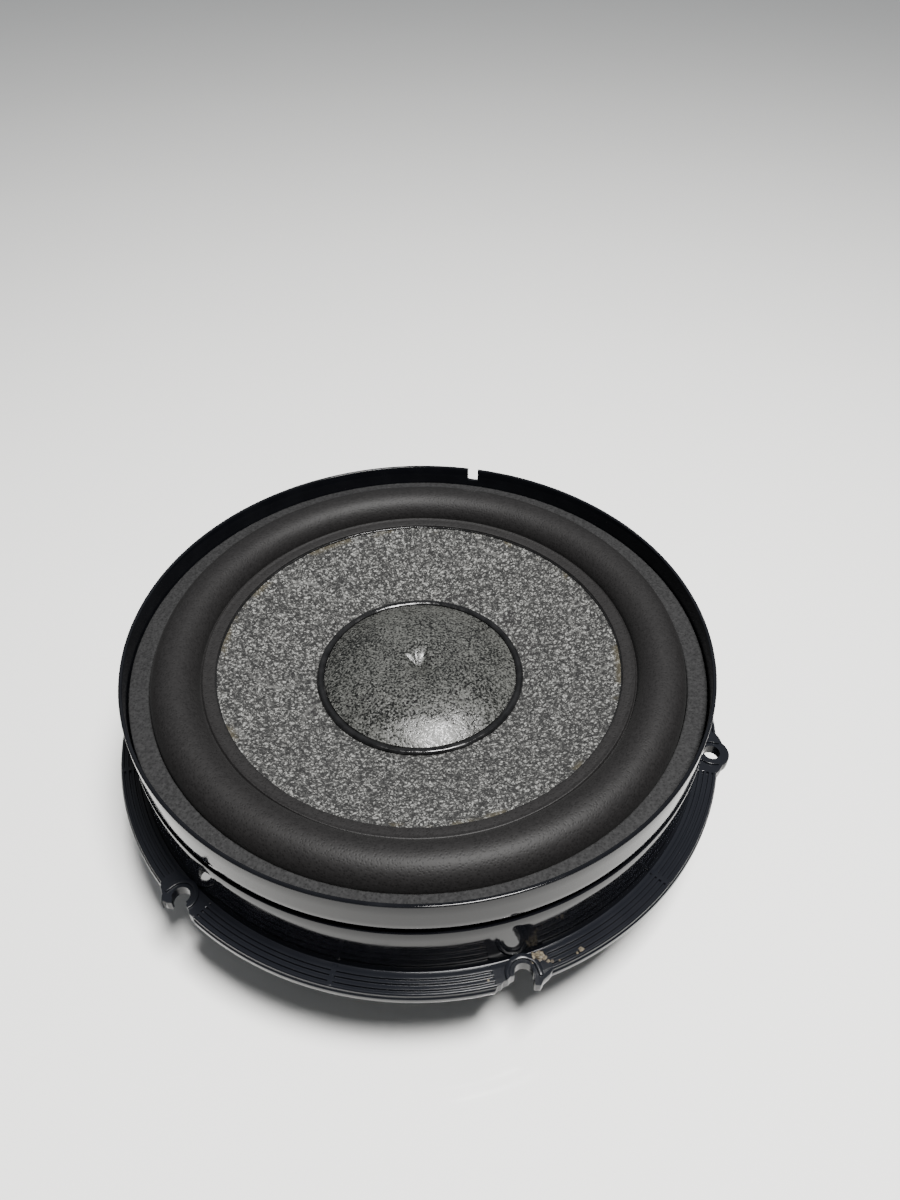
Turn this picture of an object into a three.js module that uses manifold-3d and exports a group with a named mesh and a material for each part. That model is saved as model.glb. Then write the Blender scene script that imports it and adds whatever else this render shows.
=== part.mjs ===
// An 8-inch car door subwoofer, lying on its magnet: drum-shaped plastic basket with a riveting flange,
// front ring, foam half-roll surround, shallow felt cone with a dimpled dust cap, and a ferrite motor.
// Millimetres, +Z towards the listener, origin at the centre of the flat rear face of the motor.
import * as THREE from 'three';
import { mergeVertices } from 'three/addons/utils/BufferGeometryUtils.js';
import Module from 'manifold-3d';

const wasm = await Module();
wasm.setup();

// --- driving dimensions -------------------------------------------------------------------------
const GAP = 0.3; // between pieces that are glued, clipped or screwed together
const FACETS_LARGE = 48; // round the pieces as wide as the drum
const FACETS_MOTOR = 40; // round the motor, the spider and the dust cap
const FACETS_SMALL = 32; // round the voice coil
const FACETS_TINY = 10; // round screws and holes

const GASKET_FACE_Z = 68; // front face of the foam gasket above the motor's rear face
const GASKET_OUTER_R = 100.1;
const GASKET_INNER_R = 93.4;
const GASKET_THICK = 2.7;

const DRUM_R = 101.8; // outside of the drum and of the front ring
const DRUM_WALL = 2.4;
const DRUM_TOP_Z = 60.5; // the lower band ends here
const SHADOW_GAP = 3; // between the drum and the front ring
const COLLAR_TOP_Z = 75.8;
const COLLAR_WALL = 1.3;
const LEDGE_INNER_R = 91.6; // ledge that the surround is glued to
const LEDGE_TOP_Z = 62;
const LEDGE_THICK = 2.2;
const NECK_R = 99.3; // back wall of the shadow gap

const FLANGE_R = 109.8;
const FLANGE_TOP_Z = 38;
const FLANGE_REAR_Z = 34; // the rim and the lugs bear on the door here
const FLANGE_PLATE_REAR_Z = 35;
const FLANGE_INNER_R = 103.3; // first raised ring
const FLANGE_LIP_Z = 36.2; // the rim steps in by FLANGE_LIP above this
const FLANGE_LIP = 0.4;
const CORNER = 0.3; // small chamfers along the moulded edges
const SEAL_CHANNEL_R = [99.9, 104.4]; // behind the flange, for the foam seal
const GROOVE_DEPTH = 0.8;
const GROOVE_WIDTH = 1.6;
const GROOVE_R = 106.3;

const LUG_AZIMUTHS = [-13.5, 44, 105.5, 166.5, -136, -74.5]; // degrees, counter-clockwise from +X
const LUG_HOLE_R = 107.4; // from the axis to a rivet hole's centre
const LUG_HOLE_RADIUS = 2.9;
const LUG_EAR_RADIUS = 6.2;
const LUG_HALF_WIDTH = 9.5;
const LUG_BOSS_HEIGHT = 0.8;
const FRONT_TORN_LUG = -74.5; // azimuths of the two lugs that are broken
const LEFT_TORN_LUG = -136;
const RIB_AZIMUTHS = [13.5, 74.5, 135.7, -166.5, -105.5, -44.3];
const RIB_WIDTH = 1.6;
const NOTCH_AZIMUTH = 76;
const NOTCH_WIDTH = 4.2;
const NOTCH_DEPTH = 5.5;

const ROLL_CENTRE_R = 84.85; // half roll of the surround
const ROLL_CENTRE_Z = 66.7;
const ROLL_RADIUS = 8.35;
const ROLL_THICK = 1.3;
const ROLL_STEPS = 7;
const SURROUND_OUTER_R = 98.8;
const LAND_THICK = 0.9;

const CONE_EDGE_R = 76;
const CONE_SIGHT_R = 71.4; // where the surround's inner land ends
const CONE_EDGE_Z = 66.3;
const CAP_RING_OUTER_R = 37.2;
const CAP_RING_INNER_R = 34.7;
const CAP_RING_Z = 57;
const CONE_THICK = 1.5;
const CAP_DIMPLE_Z = 59.4; // bottom of the funnel-shaped dimple in the middle of the dust cap

const COIL_R = 18.9; // inside of the voice coil former
const FORMER_WALL = 0.5;
const FORMER_Z = [14, 53];
const WINDING_WALL = 0.9;
const WINDING_Z = [16, 29];
const NECK_INNER_R = COIL_R + FORMER_WALL + GAP;
const NECK_BOTTOM_Z = 49;
const BEAD_Z = [46.6, NECK_BOTTOM_Z - GAP];

const SPIDER_Z = 45.6;
const SPIDER_THICK = 0.7;
const SPIDER_OUTER_R = 57.8;
const SPIDER_WAVE = 1.2;
const SPIDER_HALF_WAVES = 8;

const YOKE_R = 42;
const YOKE_THICK = 5;
const POLE_R = 18;
const MAGNET_R = 45;
const MAGNET_BORE_R = 25;
const MAGNET_TOP_Z = 19.4;
const TOP_PLATE_BORE_R = 21.6;
const TOP_PLATE_TOP_Z = 25;

const FLOOR_TOP_Z = 28.3; // basket floor, screwed to the top plate
const FLOOR_BORE_R = 24;
const TUBE_R = 59.5; // short tube that carries the spider
const TUBE_WALL = 2.5;
const TUBE_TOP_Z = SPIDER_Z - SPIDER_THICK / 2 - GAP;
const VENT_HALF_WIDTH = 11; // windows through the tube, between the spokes
const SPOKE_WIDTH = 12;
const SPOKE_SKIN = 2.2;
const SPOKE_KNEE = [74, 26.6]; // where the underside of a spoke turns up, as [radius, height]
const SPOKE_SHOULDER = [84, 40.5]; // the highest bend of its top
const SPOKE_TOP_Z = [37.5, 44]; // at the tube and at the drum
const MOTOR_SCREW_R = 33;
const MOTOR_SCREW_AZIMUTHS = [45, 135, 225, 315];
const MOTOR_SCREW_HOLE_R = 1.9;

const TERMINAL_Y = [82, 97]; // connector housing under the back of the flange
const TERMINAL_HALF_WIDTH = 13;
const TERMINAL_Z = [20.2, 34.7];
const PAD_TOP_Z = 37.5; // basket pad above the housing
const PAD_BACK_Y = 80;
const SOCKET_HALF_WIDTH = 8.2;
const SOCKET_Z = [22.5, 32.5];
const KEYWAY_HALF_WIDTH = 1.2;
const TERMINAL_SCREW_X = 11;
const TERMINAL_SCREW_Y = 90;
const TERMINAL_SCREW_HOLE_R = 1.7;
const BLADE_X = 4;
const BLADE_WIDTH = 4.8;
const BLADE_THICK = 0.8;
const BLADE_Z = 27.5;
const BLADE_Y = [76.6, 94.5];
const TAB_HALF_WIDTH = 1.6; // solder tab at the back of a blade
const LEAD_RADIUS = 0.8;
const DAB_X = 7.8; // where a lead is glued under the cone
const DAB_Y = 35.6;

// --- helpers ------------------------------------------------------------------------------------
const radians = THREE.MathUtils.degToRad;

// Closed ring, or a solid that starts and ends on the axis, turned from [radius, height] points.
function turned(points, facets = FACETS_LARGE) {
  const outline = points.map(([radius, height]) => new THREE.Vector2(radius, height));
  const onAxis = points[0][0] === 0 && points[points.length - 1][0] === 0;
  if (!onAxis) outline.push(outline[0].clone());
  return new THREE.LatheGeometry(outline, facets).rotateX(Math.PI / 2);
}

// A ring of rectangular section.
function ring(innerR, outerR, lowZ, highZ, facets = FACETS_LARGE) {
  return turned([[innerR, lowZ], [outerR, lowZ], [outerR, highZ], [innerR, highZ]], facets);
}

// A round bar along Z at (radius, azimuth), from lowZ to highZ.
function bar(barR, lowZ, highZ, radius = 0, azimuth = 0, facets = FACETS_TINY) {
  return new THREE.CylinderGeometry(barR, barR, highZ - lowZ, facets)
    .rotateX(Math.PI / 2)
    .translate(radius, 0, (lowZ + highZ) / 2)
    .rotateZ(radians(azimuth));
}

// A block between two corners, turned about Z to the azimuth.
function block(low, high, azimuth = 0) {
  const size = high.map((value, axis) => value - low[axis]);
  return new THREE.BoxGeometry(...size)
    .translate(...low.map((value, axis) => value + size[axis] / 2))
    .rotateZ(radians(azimuth));
}

// A flat plate: an outline of [radial, tangential] points raised from lowZ to highZ at the azimuth.
function plate(shape, lowZ, highZ, azimuth) {
  return new THREE.ExtrudeGeometry(shape, { depth: highZ - lowZ, bevelEnabled: false, curveSegments: 5 })
    .translate(0, 0, lowZ)
    .rotateZ(radians(azimuth));
}

// A web standing on edge: an outline of [radius, height] points, width wide across the azimuth.
function web(points, width, azimuth) {
  const shape = new THREE.Shape(points.map(([radius, height]) => new THREE.Vector2(radius, height)));
  return new THREE.ExtrudeGeometry(shape, { depth: width, bevelEnabled: false })
    .rotateX(Math.PI / 2)
    .translate(0, width / 2, 0)
    .rotateZ(radians(azimuth));
}

function toSolid(geometry) {
  const bare = geometry.clone();
  bare.deleteAttribute('normal');
  bare.deleteAttribute('uv');
  const merged = mergeVertices(bare, 1e-4);
  const vertProperties = new Float32Array(merged.attributes.position.array);
  const triVerts = new Uint32Array(merged.index.array);
  return new wasm.Manifold(new wasm.Mesh({ numProp: 3, vertProperties, triVerts }));
}

function toGeometry(solid) {
  const mesh = solid.getMesh();
  const geometry = new THREE.BufferGeometry();
  geometry.setAttribute('position', new THREE.BufferAttribute(mesh.vertProperties, 3));
  geometry.setIndex(new THREE.BufferAttribute(mesh.triVerts, 1));
  geometry.computeVertexNormals();
  return geometry;
}

const joined = (first, others) => others.reduce((sum, next) => sum.add(toSolid(next)), first);
const cut = (first, others) => others.reduce((rest, next) => rest.subtract(toSolid(next)), first);

// --- materials ----------------------------------------------------------------------------------
const finish = (color, roughness, metalness) => (
  new THREE.MeshStandardMaterial({ color, roughness, metalness })
);
const glossPlastic = () => finish(0x15161a, 0.16, 0);
const gasketFoam = () => finish(0x444444, 0.97, 0);
const surroundFoam = () => finish(0x343233, 0.9, 0);
const sealFoam = () => finish(0x2c2b2b, 0.97, 0);
const coneFelt = () => finish(0x93938f, 0.95, 0);
const capFibre = () => finish(0x4e4f4d, 0.45, 0);
const glossAdhesive = () => finish(0x101012, 0.3, 0);
const amberFilm = () => finish(0x9a5a20, 0.4, 0);
const copperWire = () => finish(0xb5652f, 0.35, 0.9);
const spiderCloth = () => finish(0xb9954e, 0.9, 0);
const zincSteel = () => finish(0xa9abad, 0.35, 1);
const ferrite = () => finish(0x2b2c2f, 0.7, 0.1);
const connectorPlastic = () => finish(0x26272a, 0.5, 0);
const tinnedBrass = () => finish(0xc9c4b4, 0.3, 1);
const tinselBraid = () => finish(0xb08a5a, 0.5, 0.6);

// --- fixed plastic and foam ---------------------------------------------------------------------
// Outline of a lug: a plate on the flange that swells into a round ear about the rivet hole.
function lugOutline() {
  const shape = new THREE.Shape();
  const earStart = radians(55);
  const rootR = DRUM_R + 0.4;
  const shoulderR = FLANGE_R - 0.8;
  shape.moveTo(rootR, -LUG_HALF_WIDTH);
  shape.lineTo(shoulderR, -LUG_HALF_WIDTH);
  shape.absarc(LUG_HOLE_R, 0, LUG_EAR_RADIUS, -earStart, earStart, false);
  shape.lineTo(shoulderR, LUG_HALF_WIDTH);
  shape.lineTo(rootR, LUG_HALF_WIDTH);
  return shape;
}

// What has been torn out of two of the lugs, as [radial, tangential] outlines.
const FRONT_TEAR = [
  [107.2, 2],
  [110.3, 2.4],
  [111.5, 1.8],
  [112.5, 3],
  [116, 4.4],
  [116, -11],
  [109.2, -9.4],
  [108.8, -7.5],
  [107.7, -4],
  [107.3, -2.5],
];
const LEFT_TEAR = [
  [107.8, -1.2],
  [109.4, -1.8],
  [110.9, -0.2],
  [112.3, -1.9],
  [116, -2.6],
  [116, 10.8],
  [109.5, 9.3],
  [109.2, 6],
  [107.7, 3],
  [107.2, 1.5],
];

function tear(points, azimuth) {
  const shape = new THREE.Shape(points.map(([u, v]) => new THREE.Vector2(u, v)));
  return plate(shape, FLANGE_REAR_Z - 1, FLANGE_TOP_Z + 2, azimuth);
}

// The two screw holes through the pad and the connector housing.
const terminalScrewHoles = (lowZ, highZ) => [-1, 1].map((side) => (
  bar(TERMINAL_SCREW_HOLE_R, lowZ, highZ).translate(side * TERMINAL_SCREW_X, TERMINAL_SCREW_Y, 0)
));

function basketGeometry() {
  const inner = DRUM_R - DRUM_WALL;
  const drum = turned([
    [FLANGE_R - 1, FLANGE_REAR_Z],
    [FLANGE_R, FLANGE_REAR_Z],
    [FLANGE_R, FLANGE_LIP_Z],
    [FLANGE_R - FLANGE_LIP, FLANGE_LIP_Z + CORNER],
    [FLANGE_R - FLANGE_LIP, FLANGE_TOP_Z - CORNER],
    [FLANGE_R - FLANGE_LIP - CORNER, FLANGE_TOP_Z],
    [GROOVE_R + GROOVE_WIDTH / 2, FLANGE_TOP_Z],
    [GROOVE_R + GROOVE_WIDTH / 2, FLANGE_TOP_Z - GROOVE_DEPTH],
    [GROOVE_R - GROOVE_WIDTH / 2, FLANGE_TOP_Z - GROOVE_DEPTH],
    [GROOVE_R - GROOVE_WIDTH / 2, FLANGE_TOP_Z],
    [FLANGE_INNER_R, FLANGE_TOP_Z],
    [FLANGE_INNER_R, FLANGE_TOP_Z - GROOVE_DEPTH],
    [DRUM_R, FLANGE_TOP_Z - GROOVE_DEPTH],
    [DRUM_R, DRUM_TOP_Z],
    [NECK_R, DRUM_TOP_Z],
    [NECK_R, LEDGE_TOP_Z],
    [LEDGE_INNER_R, LEDGE_TOP_Z],
    [LEDGE_INNER_R, LEDGE_TOP_Z - LEDGE_THICK],
    [inner - 1, LEDGE_TOP_Z - LEDGE_THICK],
    [inner, LEDGE_TOP_Z - LEDGE_THICK - 1],
    [inner, FLANGE_PLATE_REAR_Z],
    [FLANGE_R - 1, FLANGE_PLATE_REAR_Z],
  ]);
  const floorZ = TOP_PLATE_TOP_Z + GAP;
  const spiderSeat = turned([
    [FLOOR_BORE_R, floorZ],
    [TUBE_R, floorZ],
    [TUBE_R, TUBE_TOP_Z],
    [TUBE_R - TUBE_WALL, TUBE_TOP_Z],
    [TUBE_R - TUBE_WALL, FLOOR_TOP_Z],
    [FLOOR_BORE_R, FLOOR_TOP_Z],
  ]);
  const spokeFoot = TUBE_R - TUBE_WALL + 0.5;
  const spokeEnd = DRUM_R - 1;
  const [spokeFootTop, spokeEndTop] = SPOKE_TOP_Z;
  const [shoulderR, shoulderZ] = SPOKE_SHOULDER;
  const spokes = LUG_AZIMUTHS.map((azimuth) => web([
    [spokeFoot, floorZ],
    SPOKE_KNEE,
    [inner, FLANGE_PLATE_REAR_Z],
    [spokeEnd, FLANGE_PLATE_REAR_Z],
    [spokeEnd, spokeEndTop],
    [shoulderR, shoulderZ],
    [spokeFoot, spokeFootTop],
  ], SPOKE_WIDTH, azimuth));
  const channelEnd = inner - DRUM_WALL;
  const channels = LUG_AZIMUTHS.map((azimuth) => web([
    [TUBE_R + 2, floorZ - 3],
    [channelEnd, floorZ - 3],
    [channelEnd, spokeEndTop - 2 - SPOKE_SKIN],
    [shoulderR, shoulderZ - SPOKE_SKIN],
    [TUBE_R + 2, spokeFootTop + 0.3 - SPOKE_SKIN],
  ], SPOKE_WIDTH - 2 * SPOKE_SKIN, azimuth));
  const ribs = RIB_AZIMUTHS.map((azimuth) => block(
    [FLANGE_INNER_R - 1, -RIB_WIDTH / 2, FLANGE_TOP_Z - 1.5],
    [FLANGE_R - 0.6, RIB_WIDTH / 2, FLANGE_TOP_Z],
    azimuth,
  ));
  const lugs = LUG_AZIMUTHS.map((azimuth) => plate(lugOutline(), FLANGE_REAR_Z, FLANGE_TOP_Z, azimuth));
  const bosses = LUG_AZIMUTHS.map((azimuth) => (
    bar(LUG_EAR_RADIUS - 0.2, FLANGE_TOP_Z - 1, FLANGE_TOP_Z + LUG_BOSS_HEIGHT, LUG_HOLE_R, azimuth, 12)
  ));
  const lugHoles = LUG_AZIMUTHS.map((azimuth) => (
    bar(LUG_HOLE_RADIUS, FLANGE_REAR_Z - 1, FLANGE_TOP_Z + 3, LUG_HOLE_R, azimuth, 12)
  ));
  const tubeVents = RIB_AZIMUTHS.map((azimuth) => block(
    [TUBE_R - TUBE_WALL - 1, -VENT_HALF_WIDTH, FLOOR_TOP_Z + 3],
    [TUBE_R + 1, VENT_HALF_WIDTH, TUBE_TOP_Z - 3.5],
    azimuth,
  ));
  const screwHoles = MOTOR_SCREW_AZIMUTHS.map((azimuth) => (
    bar(MOTOR_SCREW_HOLE_R, floorZ - 1, FLOOR_TOP_Z + 1, MOTOR_SCREW_R, azimuth)
  ));
  const terminalPad = block(
    [-TERMINAL_HALF_WIDTH - 0.5, PAD_BACK_Y, TERMINAL_Z[1] + GAP],
    [TERMINAL_HALF_WIDTH + 0.5, DRUM_R - 2, PAD_TOP_Z],
  );
  const padHoles = terminalScrewHoles(TERMINAL_Z[1] - 1, PAD_TOP_Z + 1);
  const whole = joined(toSolid(drum), [spiderSeat, ...spokes, ...ribs, ...lugs, ...bosses, terminalPad]);
  const sealChannel = ring(...SEAL_CHANNEL_R, FLANGE_REAR_Z - 3, FLANGE_PLATE_REAR_Z);
  return toGeometry(cut(whole, [
    sealChannel,
    ...channels,
    ...lugHoles,
    ...tubeVents,
    ...screwHoles,
    ...padHoles,
    tear(FRONT_TEAR, FRONT_TORN_LUG),
    tear(LEFT_TEAR, LEFT_TORN_LUG),
  ]));
}

function frontRingGeometry() {
  const footZ = DRUM_TOP_Z + SHADOW_GAP;
  const footTop = GASKET_FACE_Z - GASKET_THICK - GAP;
  const wall = turned([
    [GASKET_INNER_R + 0.2, footZ],
    [DRUM_R, footZ],
    [DRUM_R, COLLAR_TOP_Z - CORNER],
    [DRUM_R - CORNER, COLLAR_TOP_Z],
    [DRUM_R - COLLAR_WALL + CORNER, COLLAR_TOP_Z],
    [DRUM_R - COLLAR_WALL, COLLAR_TOP_Z - CORNER],
    [DRUM_R - COLLAR_WALL, footTop],
    [GASKET_INNER_R + 0.2, footTop],
  ]);
  const notch = block(
    [DRUM_R - 4, -NOTCH_WIDTH / 2, COLLAR_TOP_Z - NOTCH_DEPTH],
    [DRUM_R + 2, NOTCH_WIDTH / 2, COLLAR_TOP_Z + 1],
    NOTCH_AZIMUTH,
  );
  return toGeometry(cut(toSolid(wall), [notch]));
}

const gasketGeometry = () => turned([
  [GASKET_INNER_R, GASKET_FACE_Z - GASKET_THICK],
  [GASKET_OUTER_R, GASKET_FACE_Z - GASKET_THICK],
  [GASKET_OUTER_R, GASKET_FACE_Z - 0.4],
  [GASKET_OUTER_R - 0.4, GASKET_FACE_Z],
  [GASKET_INNER_R + 0.4, GASKET_FACE_Z],
  [GASKET_INNER_R, GASKET_FACE_Z - 0.4],
]);

const rearSealGeometry = () => ring(
  SEAL_CHANNEL_R[0] + GAP,
  SEAL_CHANNEL_R[1] - GAP,
  FLANGE_REAR_Z - 1.2,
  FLANGE_PLATE_REAR_Z - GAP,
);

// --- moving parts -------------------------------------------------------------------------------
function surroundGeometry() {
  const landZ = LEDGE_TOP_Z + GAP;
  const innerLandZ = CONE_EDGE_Z + GAP;
  const arc = (radius, from, to) => Array.from({ length: ROLL_STEPS + 1 }, (_, step) => {
    const angle = radians(from + ((to - from) * step) / ROLL_STEPS);
    return [ROLL_CENTRE_R + radius * Math.cos(angle), ROLL_CENTRE_Z + radius * Math.sin(angle)];
  });
  return turned([
    [ROLL_CENTRE_R + ROLL_RADIUS - ROLL_THICK, landZ],
    [SURROUND_OUTER_R, landZ],
    [SURROUND_OUTER_R, landZ + LAND_THICK],
    [ROLL_CENTRE_R + ROLL_RADIUS, landZ + LAND_THICK],
    ...arc(ROLL_RADIUS, 0, 172),
    [CONE_SIGHT_R, innerLandZ + 1],
    [CONE_SIGHT_R, innerLandZ],
    ...arc(ROLL_RADIUS - ROLL_THICK, 180, 0),
  ]);
}

// Height of the cone's front face at a radius, along its straight flank.
function coneZ(radius) {
  const slope = (CONE_EDGE_Z - CAP_RING_Z) / (CONE_SIGHT_R - CAP_RING_OUTER_R);
  return CAP_RING_Z + (radius - CAP_RING_OUTER_R) * slope;
}

const coneGeometry = () => turned([
  [NECK_INNER_R, NECK_BOTTOM_Z],
  [NECK_INNER_R + CONE_THICK, NECK_BOTTOM_Z],
  [NECK_INNER_R + CONE_THICK + 0.5, coneZ(NECK_INNER_R + CONE_THICK + 0.5) - CONE_THICK],
  [CONE_SIGHT_R - 0.5, CONE_EDGE_Z - CONE_THICK],
  [CONE_EDGE_R, CONE_EDGE_Z - CONE_THICK],
  [CONE_EDGE_R, CONE_EDGE_Z],
  [CONE_SIGHT_R, CONE_EDGE_Z],
  [NECK_INNER_R, coneZ(NECK_INNER_R)],
]);

const capRingGeometry = () => turned([
  [CAP_RING_INNER_R, CAP_RING_Z - 0.1],
  [CAP_RING_OUTER_R, CAP_RING_Z + 0.4],
  [CAP_RING_OUTER_R, CAP_RING_Z + 0.9],
  [CAP_RING_OUTER_R - 0.7, CAP_RING_Z + 1.4],
  [CAP_RING_INNER_R + 0.7, CAP_RING_Z + 1.4],
  [CAP_RING_INNER_R, CAP_RING_Z + 0.9],
], FACETS_MOTOR);

// A dome that steepens towards its rim, with a funnel-shaped dimple in the middle.
function dustCapGeometry() {
  const shell = 0.9;
  const front = [
    [CAP_RING_INNER_R - GAP, CAP_RING_Z + 0.8],
    [26, 60.7],
    [17, 62.9],
    [10, 63.5],
    [7, 63.1],
    [4, 62],
    [1.6, 60.5],
    [0, CAP_DIMPLE_Z],
  ];
  const rear = front.map(([radius, height]) => [radius, height - shell]).reverse();
  return turned([...rear, ...front], FACETS_MOTOR);
}

const formerGeometry = () => ring(COIL_R, COIL_R + FORMER_WALL, ...FORMER_Z, FACETS_SMALL);

const windingGeometry = () => ring(NECK_INNER_R, NECK_INNER_R + WINDING_WALL, ...WINDING_Z, FACETS_SMALL);

// A bead of glue between the spider and the cone's neck.
const neckBeadGeometry = () => turned([
  [NECK_INNER_R, BEAD_Z[0]],
  [NECK_INNER_R + 1.2, BEAD_Z[0]],
  [NECK_INNER_R + 2.4, BEAD_Z[0] + 0.8],
  [NECK_INNER_R + 1.4, BEAD_Z[1]],
  [NECK_INNER_R, BEAD_Z[1]],
], FACETS_SMALL);

function spiderGeometry() {
  const innerFlatR = 23.5;
  const outerFlatR = 53.5;
  const crest = (index) => {
    const radius = innerFlatR + ((outerFlatR - innerFlatR) * (index + 0.5)) / SPIDER_HALF_WAVES;
    return [radius, SPIDER_Z + (index % 2 ? 1 : -1) * SPIDER_WAVE];
  };
  const crests = Array.from({ length: SPIDER_HALF_WAVES }, (_, index) => crest(index));
  const middle = [
    [NECK_INNER_R, SPIDER_Z],
    [innerFlatR, SPIDER_Z],
    ...crests,
    [outerFlatR, SPIDER_Z],
    [SPIDER_OUTER_R, SPIDER_Z],
  ];
  const under = middle.map(([radius, height]) => [radius, height - SPIDER_THICK / 2]);
  const over = middle.map(([radius, height]) => [radius, height + SPIDER_THICK / 2]).reverse();
  return turned([...under, ...over], FACETS_MOTOR);
}

// A flexible lead from the terminal blade, over the spider's rim, to the back of the cone.
function leadGeometry(side) {
  const route = [
    [4, 76.2, 29],
    [4, 75.6, 36],
    [4.4, 71.5, 45.5],
    [5, 63, 50],
    [6, 53, 50.6],
    [7, 44, 50.6],
    [7.6, 38.5, 52.4],
  ];
  const curve = new THREE.CatmullRomCurve3(route.map(([x, y, z]) => new THREE.Vector3(side * x, y, z)));
  const section = new THREE.Shape().absarc(0, 0, LEAD_RADIUS, 0, 2 * Math.PI);
  return new THREE.ExtrudeGeometry(section, { steps: 20, extrudePath: curve, curveSegments: 4 });
}

// The dab of glue that holds a lead on the back of the cone.
function leadDabGeometry(side) {
  const height = coneZ(Math.hypot(DAB_X, DAB_Y)) - CONE_THICK - GAP;
  const dab = turned([[0, -2.2], [1.8, -1.6], [2.6, 0], [0, 0]], FACETS_TINY);
  return dab.rotateX(Math.atan(0.27)).translate(side * DAB_X, DAB_Y, height - 0.5);
}

// --- motor --------------------------------------------------------------------------------------
const yokeGeometry = () => turned([
  [0, 0],
  [YOKE_R - 0.8, 0],
  [YOKE_R, 0.8],
  [YOKE_R, YOKE_THICK],
  [POLE_R, YOKE_THICK],
  [POLE_R, TOP_PLATE_TOP_Z - 0.8],
  [POLE_R - 0.6, TOP_PLATE_TOP_Z - 0.2],
  [0, TOP_PLATE_TOP_Z - 0.2],
], FACETS_MOTOR);

const magnetGeometry = () => turned([
  [MAGNET_BORE_R, YOKE_THICK + GAP],
  [MAGNET_R - 1, YOKE_THICK + GAP],
  [MAGNET_R, YOKE_THICK + GAP + 1],
  [MAGNET_R, MAGNET_TOP_Z - 1],
  [MAGNET_R - 1, MAGNET_TOP_Z],
  [MAGNET_BORE_R, MAGNET_TOP_Z],
], FACETS_MOTOR);

function topPlateGeometry() {
  const disc = ring(TOP_PLATE_BORE_R, YOKE_R, MAGNET_TOP_Z + GAP, TOP_PLATE_TOP_Z, FACETS_MOTOR);
  const holes = MOTOR_SCREW_AZIMUTHS.map((azimuth) => (
    bar(MOTOR_SCREW_HOLE_R, TOP_PLATE_TOP_Z - 4, TOP_PLATE_TOP_Z + 1, MOTOR_SCREW_R, azimuth)
  ));
  return toGeometry(cut(toSolid(disc), holes));
}

// A pan-head screw whose head's underside is at seatZ.
const screwGeometry = (headR, shankR, length, seatZ) => turned([
  [0, seatZ - length],
  [shankR, seatZ - length],
  [shankR, seatZ],
  [headR, seatZ],
  [headR, seatZ + 1.1],
  [headR - 0.9, seatZ + 1.9],
  [0, seatZ + 1.9],
], FACETS_TINY);

// --- terminal -----------------------------------------------------------------------------------
function terminalBlockGeometry() {
  const [backY, mouthY] = TERMINAL_Y;
  const [lowZ, highZ] = TERMINAL_Z;
  const [socketLowZ, socketHighZ] = SOCKET_Z;
  const housing = block([-TERMINAL_HALF_WIDTH, backY, lowZ], [TERMINAL_HALF_WIDTH, mouthY, highZ]);
  const socket = block(
    [-SOCKET_HALF_WIDTH, backY + 4, socketLowZ],
    [SOCKET_HALF_WIDTH, mouthY + 1, socketHighZ],
  );
  const slots = [-1, 1].map((side) => block(
    [side * BLADE_X - BLADE_WIDTH / 2 - GAP, backY - 1, BLADE_Z - BLADE_THICK / 2 - GAP],
    [side * BLADE_X + BLADE_WIDTH / 2 + GAP, backY + 5, BLADE_Z + BLADE_THICK / 2 + GAP],
  ));
  const holes = terminalScrewHoles(BLADE_Z + 0.5, highZ + 1);
  const keyway = block(
    [-KEYWAY_HALF_WIDTH, backY + 6, socketHighZ - 1],
    [KEYWAY_HALF_WIDTH, mouthY + 1, socketHighZ + 1],
  );
  return toGeometry(cut(toSolid(housing), [socket, keyway, ...slots, ...holes]));
}

// A blade contact: flat tongue in the socket, with an upright solder tab behind the housing.
function bladeGeometry(side) {
  const centre = side * BLADE_X;
  const [backY, tipY] = BLADE_Y;
  const tongue = block(
    [centre - BLADE_WIDTH / 2, backY, BLADE_Z - BLADE_THICK / 2],
    [centre + BLADE_WIDTH / 2, tipY, BLADE_Z + BLADE_THICK / 2],
  );
  const tab = block(
    [centre - TAB_HALF_WIDTH, backY, BLADE_Z - 0.2],
    [centre + TAB_HALF_WIDTH, backY + 0.9, BLADE_Z + 1.4],
  );
  return toGeometry(toSolid(tongue).add(toSolid(tab)));
}

// --- assembly -----------------------------------------------------------------------------------
const group = new THREE.Group();

function place(name, geometry, material, x = 0, y = 0, z = 0) {
  const mesh = new THREE.Mesh(geometry, material);
  mesh.name = name;
  mesh.position.set(x, y, z);
  group.add(mesh);
}

place('basket', basketGeometry(), glossPlastic());
place('front_ring', frontRingGeometry(), glossPlastic());
place('foam_gasket', gasketGeometry(), gasketFoam());
place('rear_seal', rearSealGeometry(), sealFoam());
place('surround', surroundGeometry(), surroundFoam());
place('cone', coneGeometry(), coneFelt());
place('dust_cap_ring', capRingGeometry(), glossAdhesive());
place('dust_cap', dustCapGeometry(), capFibre());
place('coil_former', formerGeometry(), amberFilm());
place('coil_winding', windingGeometry(), copperWire());
place('neck_bead', neckBeadGeometry(), glossAdhesive());
place('spider', spiderGeometry(), spiderCloth());
place('yoke', yokeGeometry(), zincSteel());
place('magnet_ring', magnetGeometry(), ferrite());
place('top_plate', topPlateGeometry(), zincSteel());

MOTOR_SCREW_AZIMUTHS.forEach((azimuth, index) => {
  const angle = radians(azimuth);
  const screw = screwGeometry(3, 1.5, 6.4, FLOOR_TOP_Z + GAP);
  const x = MOTOR_SCREW_R * Math.cos(angle);
  const y = MOTOR_SCREW_R * Math.sin(angle);
  place(`motor_screw_${index + 1}`, screw, zincSteel(), x, y, 0);
});

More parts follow.
